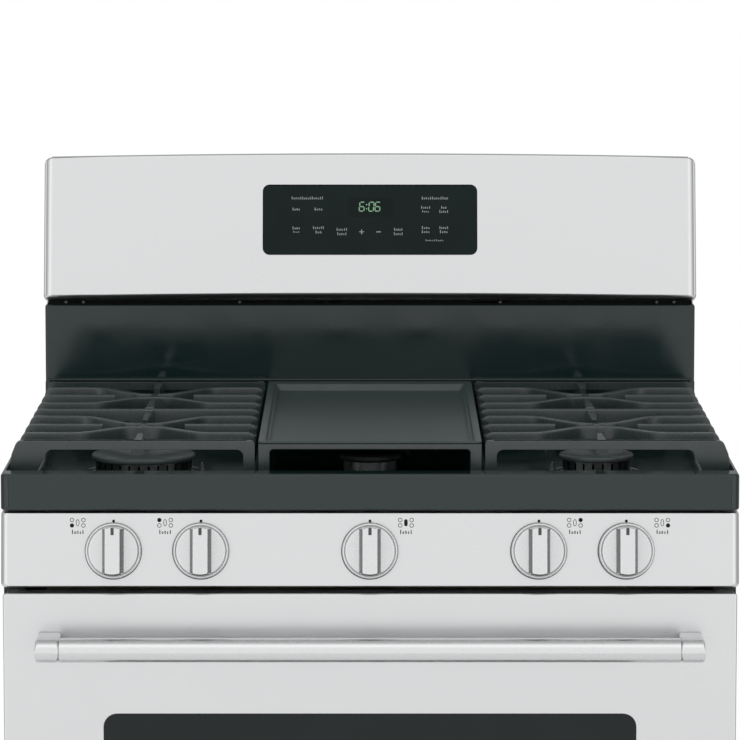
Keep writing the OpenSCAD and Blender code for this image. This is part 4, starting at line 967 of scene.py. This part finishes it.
def makeDisplay():
    p = {"r": 7 * mm, "edge": 0.6 * mm, "thick": 1.2 * mm, "print": 0.06 * mm}
    mid = fasciaLong * 0.535
    halfGlass = glassHigh.x
    high = 40 * mm
    rings = []
    edge, thick = p["edge"], p["thick"]
    for inset, out in ((0, 0), (0, thick - edge), (edge * 0.3, thick - edge * 0.3), (edge, thick)):
        outline = roundRect(-halfGlass + inset, mid - high + inset, halfGlass - inset, mid + high - inset,
                            p["r"] - inset, 8)
        rings.append([onFascia(x, u, out) for x, u in outline])
    makePiece("display_glass_look", loft(rings), panelGlass, "chassis",
              ["display_glass"])
    right = sideways
    face = p["thick"]
    window = dash(onFascia(0.5 * mm, mid + 14.6 * mm, face), right, fasciaUp, 52 * mm, 23 * mm, 0.04 * mm,
                  2 * mm)
    # a black rim behind the glass, reaching further at the top: partly the gasket, partly painted shadow along the
    # glass's top edge
    rim = roundRect(-halfGlass - 0.8 * mm, mid - high - 0.4 * mm, halfGlass + 0.8 * mm,
                    mid + high + 1.1 * mm, 8 * mm, 8)
    gasket = prism(rim, lambda x, u, out: onFascia(x, u, out), 0, 0.5 * mm)
    makePiece("display_gasket_and_shadow", gasket, ventBlackAndShade, "chassis")
    makePiece("display_window", window, clockWindow, "chassis")
    digits = []
    cell = {"w": 6.4 * mm, "h": 11.8 * mm, "line": 1.15 * mm, "z": mid + 15.3 * mm, "slant": 0.6 * mm}
    segments = {"a": (0, 1, "h"), "b": (1, 0.5, "v"), "c": (1, -0.5, "v"), "d": (0, -1, "h"),
                "e": (-1, -0.5, "v"),
                "f": (-1, 0.5, "v"), "g": (0, 0, "h")}
    shown = {"6": "acdefg", "0": "abcdef"}
    for x, digit in ((-9.3 * mm, "6"), (1.5 * mm, "0"), (8.8 * mm, "6")):
        for s in shown[digit]:
            sx, sy, kind = segments[s]
            across = x + sx * cell["w"] / 2 * 0.86 + sy * cell["slant"]
            spot = onFascia(across, cell["z"] + sy * cell["h"] / 2 * 0.88, face + 0.03 * mm)
            size = (cell["w"] * 0.66, cell["line"]) if kind == "h" else (cell["line"], cell["h"] * 0.36)
            digits.append(dash(spot, right, fasciaUp, size[0], size[1], p["print"], 0.4 * mm))
    dot = 1.5 * mm
    for dy in (-2.4 * mm, 2.4 * mm):
        spot = onFascia(-3.9 * mm, cell["z"] + dy, face + 0.03 * mm)
        digits.append(dash(spot, right, fasciaUp, dot, dot, p["print"], 0.7 * mm))
    makePiece("clock_digits", merged(*digits), clockGreen, "chassis")
    labels = []
    words = [(-72.1, 25.3, 37, 3.4), (-84.9, 12.5, 9.5, 3.4), (-59.3, 12.5, 10, 3.4),
             (-84.9, -9.4, 9.5, 3.4),
             (-84.9, -13.9, 8, 1.8), (-59.3, -9, 13.5, 3.4), (-59.3, -14.1, 8, 3.4),
             (-32.4, -11, 13, 3.4),
             (-32.4, -16.1, 11.5, 3.4), (32.4, -11, 10.5, 3.4), (32.4, -16.1, 11, 3.4),
             (74.4, 25.3, 31, 3.4),
             (63.9, 14.5, 11.5, 3.4), (63.9, 9.8, 9, 2.4), (84.7, 14.5, 7, 3.4), (84.7, 9.8, 11, 3.4),
             (63.9, -9, 10, 3.4), (63.9, -13.7, 10, 3.4), (84.7, -9, 11, 3.4), (84.7, -13.7, 10, 3.4),
             (74, -23.7, 21.6, 2)]
    for x, u, w, h in words:
        spot = onFascia(x * mm, mid + u * mm, face)
        labels += marks(spot, right, fasciaUp, w * mm, h * mm, max(3, round(w / 2.3)), p["print"])
    for x, w, h in ((-9.6, 5.4, 1.0), (9.9, 5.4, 1.0), (-9.6, 1.0, 5.4)):
        labels.append(dash(onFascia(x * mm, mid - 13.9 * mm, face), right, fasciaUp, w * mm, h * mm,
                           p["print"]))
    makePiece("key_marks", merged(*labels), printPale, "chassis")


def makeRiser():
    p = {"edgeR": 2.5 * mm}
    low, high = riserLow, riserHigh
    rings = []
    e = p["edgeR"]
    for k in (0, 30, 60, 90):
        a = math.radians(k)
        i = e * (1 - math.sin(a))
        outline = roundRect(low.x + i, low.z + i, high.x - i, high.z - i,
                            [1.5 * mm, 1.5 * mm, 3 * mm, 3 * mm], 4)
        rings.append([Vector((x, low.y + 0.15 * mm + e * (1 - math.cos(a)), z)) for x, z in outline])
    outline = roundRect(low.x, low.z, high.x, high.z, [1.5 * mm, 1.5 * mm, 3 * mm, 3 * mm], 4)
    rings.append([Vector((x, high.y, z)) for x, z in outline])
    makePiece("riser_look", loft(rings), blackEnamel, "chassis", ["back_riser"])


# a near-black sheet just behind the vent strip: painted shade in the gap under the fascia
def makeVentShadeSheet():
    low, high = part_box("vent_strip")
    p = {"gap": 0.6 * mm, "thick": 0.8 * mm, "inset": 3 * mm}
    outline = roundRect(low.x + p["inset"], low.z, high.x - p["inset"], high.z, 0.5 * mm, 3)
    shape = prism(outline, upright, high.y + p["gap"], high.y + p["gap"] + p["thick"])
    makePiece("vent_shade_sheet", shape, ventBlackAndShade, "chassis", (), 0.2 * mm)


makeFascia()
makeDisplay()
makeRiser()
makeVentShadeSheet()
print("backguard made")


def makeHandle():
    low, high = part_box("door_handle")
    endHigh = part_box("door_handle_ends")[1]
    c = (low + high) / 2
    r = (high.z - low.z) / 2
    profile = [(0.5 * mm, low.x), (r - 1 * mm, low.x), (r, low.x + 1 * mm), (r, high.x - 1 * mm),
               (r - 1 * mm, high.x), (0.5 * mm, high.x)]
    rod = lathe(profile, 48, lambda v: Vector((v.z, c.y + v.x, c.z + v.y)))
    makePiece("handle_bar", rod, barSteel, "oven_door", ["door_handle"])
    shapes = []
    for side in (-1, 1):
        x0, x1 = side * high.x, side * endHigh.x
        n = 10
        lowX, highX = min(x0, x1), max(x0, x1)
        loops = []
        for k in range(-8, n + 1):
            if k < 0:
                a = math.radians(90 * (k + 8) / 8)
                y = c.y - r * math.cos(a)
                halfZ = r * math.sin(a) if k > -8 else 0.4 * mm
                halfZ = max(halfZ, 0.6 * mm)
            else:
                t = k / n
                y = c.y + (endHigh.y - c.y) * t
                halfZ = r * (1 - 0.16 * math.sin(math.pi * t))
            outline = roundRect(lowX, c.z - halfZ, highX, c.z + halfZ, min(3 * mm, halfZ * 0.8), 4)
            loops.append([Vector((x, y, z)) for x, z in outline])
        shapes.append(loft(loops))
    makePiece("handle_ends", merged(*shapes), barSteel, "oven_door", ["door_handle_ends"])


def makeDoorSkin():
    low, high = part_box("door_skin")
    windowLow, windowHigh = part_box("door_window")
    p = {"edgeR": 2 * mm, "cornerR": 3 * mm, "windowR": 14 * mm, "lap": 16 * mm, "skin": 1.5 * mm,
         "notch": 32 * mm}
    e = p["edgeR"]
    rings = []
    wx0, wx1 = windowLow.x + p["lap"], windowHigh.x - p["lap"]
    wz0, wz1 = windowLow.z + p["lap"], windowHigh.z - p["lap"]
    for grow, y in ((0, low.y + p["skin"]), (0, low.y + 0.5 * mm), (0.5 * mm, low.y)):
        outline = roundRect(wx0 - grow, wz0 - grow, wx1 + grow, wz1 + grow, p["windowR"] + grow, 8)
        rings.append([Vector((x, y, z)) for x, z in outline])
    for k in (0, 30, 60, 90):
        a = math.radians(k)
        i = e * (1 - math.sin(a))
        outline = roundRect(low.x + i, low.z + i, high.x - i, high.z - i, p["cornerR"], 8)
        rings.append([Vector((x, low.y + e * (1 - math.cos(a)), z)) for x, z in outline])
    outline = roundRect(low.x + p["skin"], low.z + p["skin"], high.x - p["skin"], high.z - p["skin"],
                        p["cornerR"], 8)
    rings.append([Vector((x, low.y + e, z)) for x, z in outline])
    rings.append([Vector((x, low.y + p["skin"], z)) for x, z in outline])
    parts = [loft(rings + [rings[0]], False, False)]
    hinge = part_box("hinge_receivers")[1].x + 7.5 * mm  # outer end of the slot over a hinge
    c, skin = p["cornerR"], p["skin"]
    flanges = [(low.x, low.z + c, low.x + skin, high.z - c),
               (high.x - skin, low.z + c, high.x, high.z - c),
               (low.x + c, high.z - skin, high.x - c, high.z), (low.x + c, low.z, -hinge, low.z + skin),
               (p["notch"] - hinge, low.z, hinge - p["notch"], low.z + skin),
               (hinge, low.z, high.x - c, low.z + skin)]
    for x0, z0, x1, z1 in flanges:
        outline = roundRect(x0, z0, x1, z1, 0.3 * mm, 2)
        parts.append(prism(outline, upright, low.y + e - 0.4 * mm, high.y))
    shape = merged(*parts)
    makePiece("door_skin_look", shape, stainless, "oven_door", ["door_skin"])


makeHandle()
makeDoorSkin()
refined("door_window", doorGlass, 0.4 * mm)
refined("door_liner", ovenEnamel, 0.4 * mm)
refined("door_inner_glass", clearGlass, 0.4 * mm)
refined("door_hinges", darkSteel, 0.5 * mm)
refined("drawer_front", stainless, 1.5 * mm, 3)
refined("drawer_tub", tubPaint, 0.4 * mm)
print("door and drawer made")


def makeCase():
    finishes = {
        "base_frame": (zinc, 0.6), "side_panel_left": (sidePaint, 0.6),
                "side_panel_right": (sidePaint, 0.6),
        "rear_cover": (zinc, 0), "oven_liner": (ovenEnamel, 0.5), "oven_insulation": (glassWool, 3),
        "oven_floor": (ovenEnamel, 0), "bake_burner": (burnerSteel, 0.4),
                "broil_burner": (burnerSteel, 0.4),
        "oven_lamp": (lampGlass, 0.6), "door_gasket": (braid, 1.8), "burner_tubes": (castAlloyShaded, 0.2),
        "gas_manifold": (zinc, 0.4), "gas_valves": (brass, 0.5), "pressure_regulator": (castAlloyShaded, 0.8),
        "vent_strip": (ventBlackAndShade, 0.2), "backguard_rear": (zinc, 0.5), "control_board": (boardGreen, 0.2),
        "cord_gland": (blackPlastic, 0.6), "hinge_receivers": (darkSteel, 0.4),
                "drawer_runners": (darkSteel, 0.5),
        "body_screws": (screwSteel, 0.15), "oven_rack_upper": (chromeWire, 0),
                "oven_rack_lower": (chromeWire, 0),
        "leveling_legs": (blackPlastic, 1.0)}
    for node, (material, edge) in finishes.items():
        refined(node, material, edge * mm)
    for name in knobNames:
        refined("stem_" + name, brass, 0.4 * mm)


makeCase()
print("case made")


def makeStage():
    p = {"radius": 2.4, "low": (0.92, 0.92, 0.92), "high": (0.95, 0.95, 0.95)}
    edge = arc(0, 0, p["radius"], 0, 357, 119)
    ring = [(x, y, 0) for x, y in edge]
    mesh = bpy.data.meshes.new("floor")
    mesh.from_pydata(ring, [], [list(range(len(ring)))])
    floor = bpy.data.objects.new("floor", mesh)
    bpy.context.scene.collection.objects.link(floor)
    m, tree, b = baseMaterial("paleFloor", p["low"], 0.6)
    tree.links.new(colorRamp(tree, noise(tree, 3, 3), [(0.3, p["low"]), (0.7, p["high"])]),
                   b.inputs["Base Color"])
    mesh.materials.append(m)


# a white room, brightest overhead and at both front corners, grey behind
def makeWorld():
    p = {"front": 1.02, "side": 1.3, "rear": 0.36, "top": 1.5, "right": 0.95}
    world = bpy.data.worlds.new("studio")
    bpy.context.scene.world = world
    world.use_nodes = True
    tree = world.node_tree
    back = tree.nodes["Background"]
    coord = tree.nodes.new("ShaderNodeTexCoord")
    parts = tree.nodes.new("ShaderNodeSeparateXYZ")
    tree.links.new(coord.outputs["Generated"], parts.inputs[0])

    def span(source, low, high, start, stop, kind="SMOOTHSTEP"):
        r = tree.nodes.new("ShaderNodeMapRange")
        r.interpolation_type = kind
        r.inputs["From Min"].default_value, r.inputs["From Max"].default_value = start, stop
        r.inputs["To Min"].default_value, r.inputs["To Max"].default_value = low, high
        tree.links.new(source, r.inputs["Value"])
        return r.outputs["Result"]

    def times(a, b):
        m = tree.nodes.new("ShaderNodeMath")
        m.operation = "MULTIPLY"
        tree.links.new(a, m.inputs[0])
        tree.links.new(b, m.inputs[1])
        return m.outputs[0]

    squared = times(parts.outputs["X"], parts.outputs["X"])
    depth = span(parts.outputs["Y"], p["front"], p["rear"], -0.75, -0.05)
    height = span(parts.outputs["Z"], 1.0, p["top"], 0.5, 0.9)
    panels = span(squared, 1.0, p["side"], 0.08, 0.3)
    right = span(parts.outputs["X"], 1.0, p["right"], 0.3, 0.9)
    lit = times(times(depth, height), times(panels, right))
    path = tree.nodes.new("ShaderNodeLightPath")
    pick = tree.nodes.new("ShaderNodeMix")
    tree.links.new(path.outputs["Is Camera Ray"], pick.inputs["Factor"])
    tree.links.new(lit, pick.inputs["A"])
    pick.inputs["B"].default_value = 1.0
    tree.links.new(pick.outputs["Result"], back.inputs["Strength"])
    back.inputs["Color"].default_value = (1, 1, 1, 1)


def makeLamps():
    lamps = [("key", (-3.4, -2.4, 2.2), (0, -0.2, 0.9), 1.0, 34),
             ("top", (0, -0.2, 3.4), (0, 0, 0.9), 2.4, 12)]
    for name, place, target, size, power in lamps:
        data = bpy.data.lights.new(name, "AREA")
        data.energy, data.size = power, size
        lamp = bpy.data.objects.new(name, data)
        lamp.location = place
        lamp.rotation_euler = (Vector(target) - Vector(place)).to_track_quat("-Z", "Y").to_euler()
        lamp.visible_glossy = False
        bpy.context.scene.collection.objects.link(lamp)


def makeCamera():
    p = {"back": 4.702, "up": 0.652, "pitch": 7.0, "lens": 221.9}
    data = bpy.data.cameras.new("camera")
    data.sensor_width, data.lens = 36, p["lens"]
    data.clip_end = 100
    camera = bpy.data.objects.new("camera", data)
    camera.location = (0, grateY - p["back"], grateTop + p["up"])
    camera.rotation_euler = (math.radians(90 - p["pitch"]), 0, 0)
    bpy.context.scene.collection.objects.link(camera)
    bpy.context.scene.camera = camera
    bpy.context.scene.view_settings.view_transform = "Standard"


makeStage()
makeWorld()
makeLamps()
makeCamera()
print("stage made")
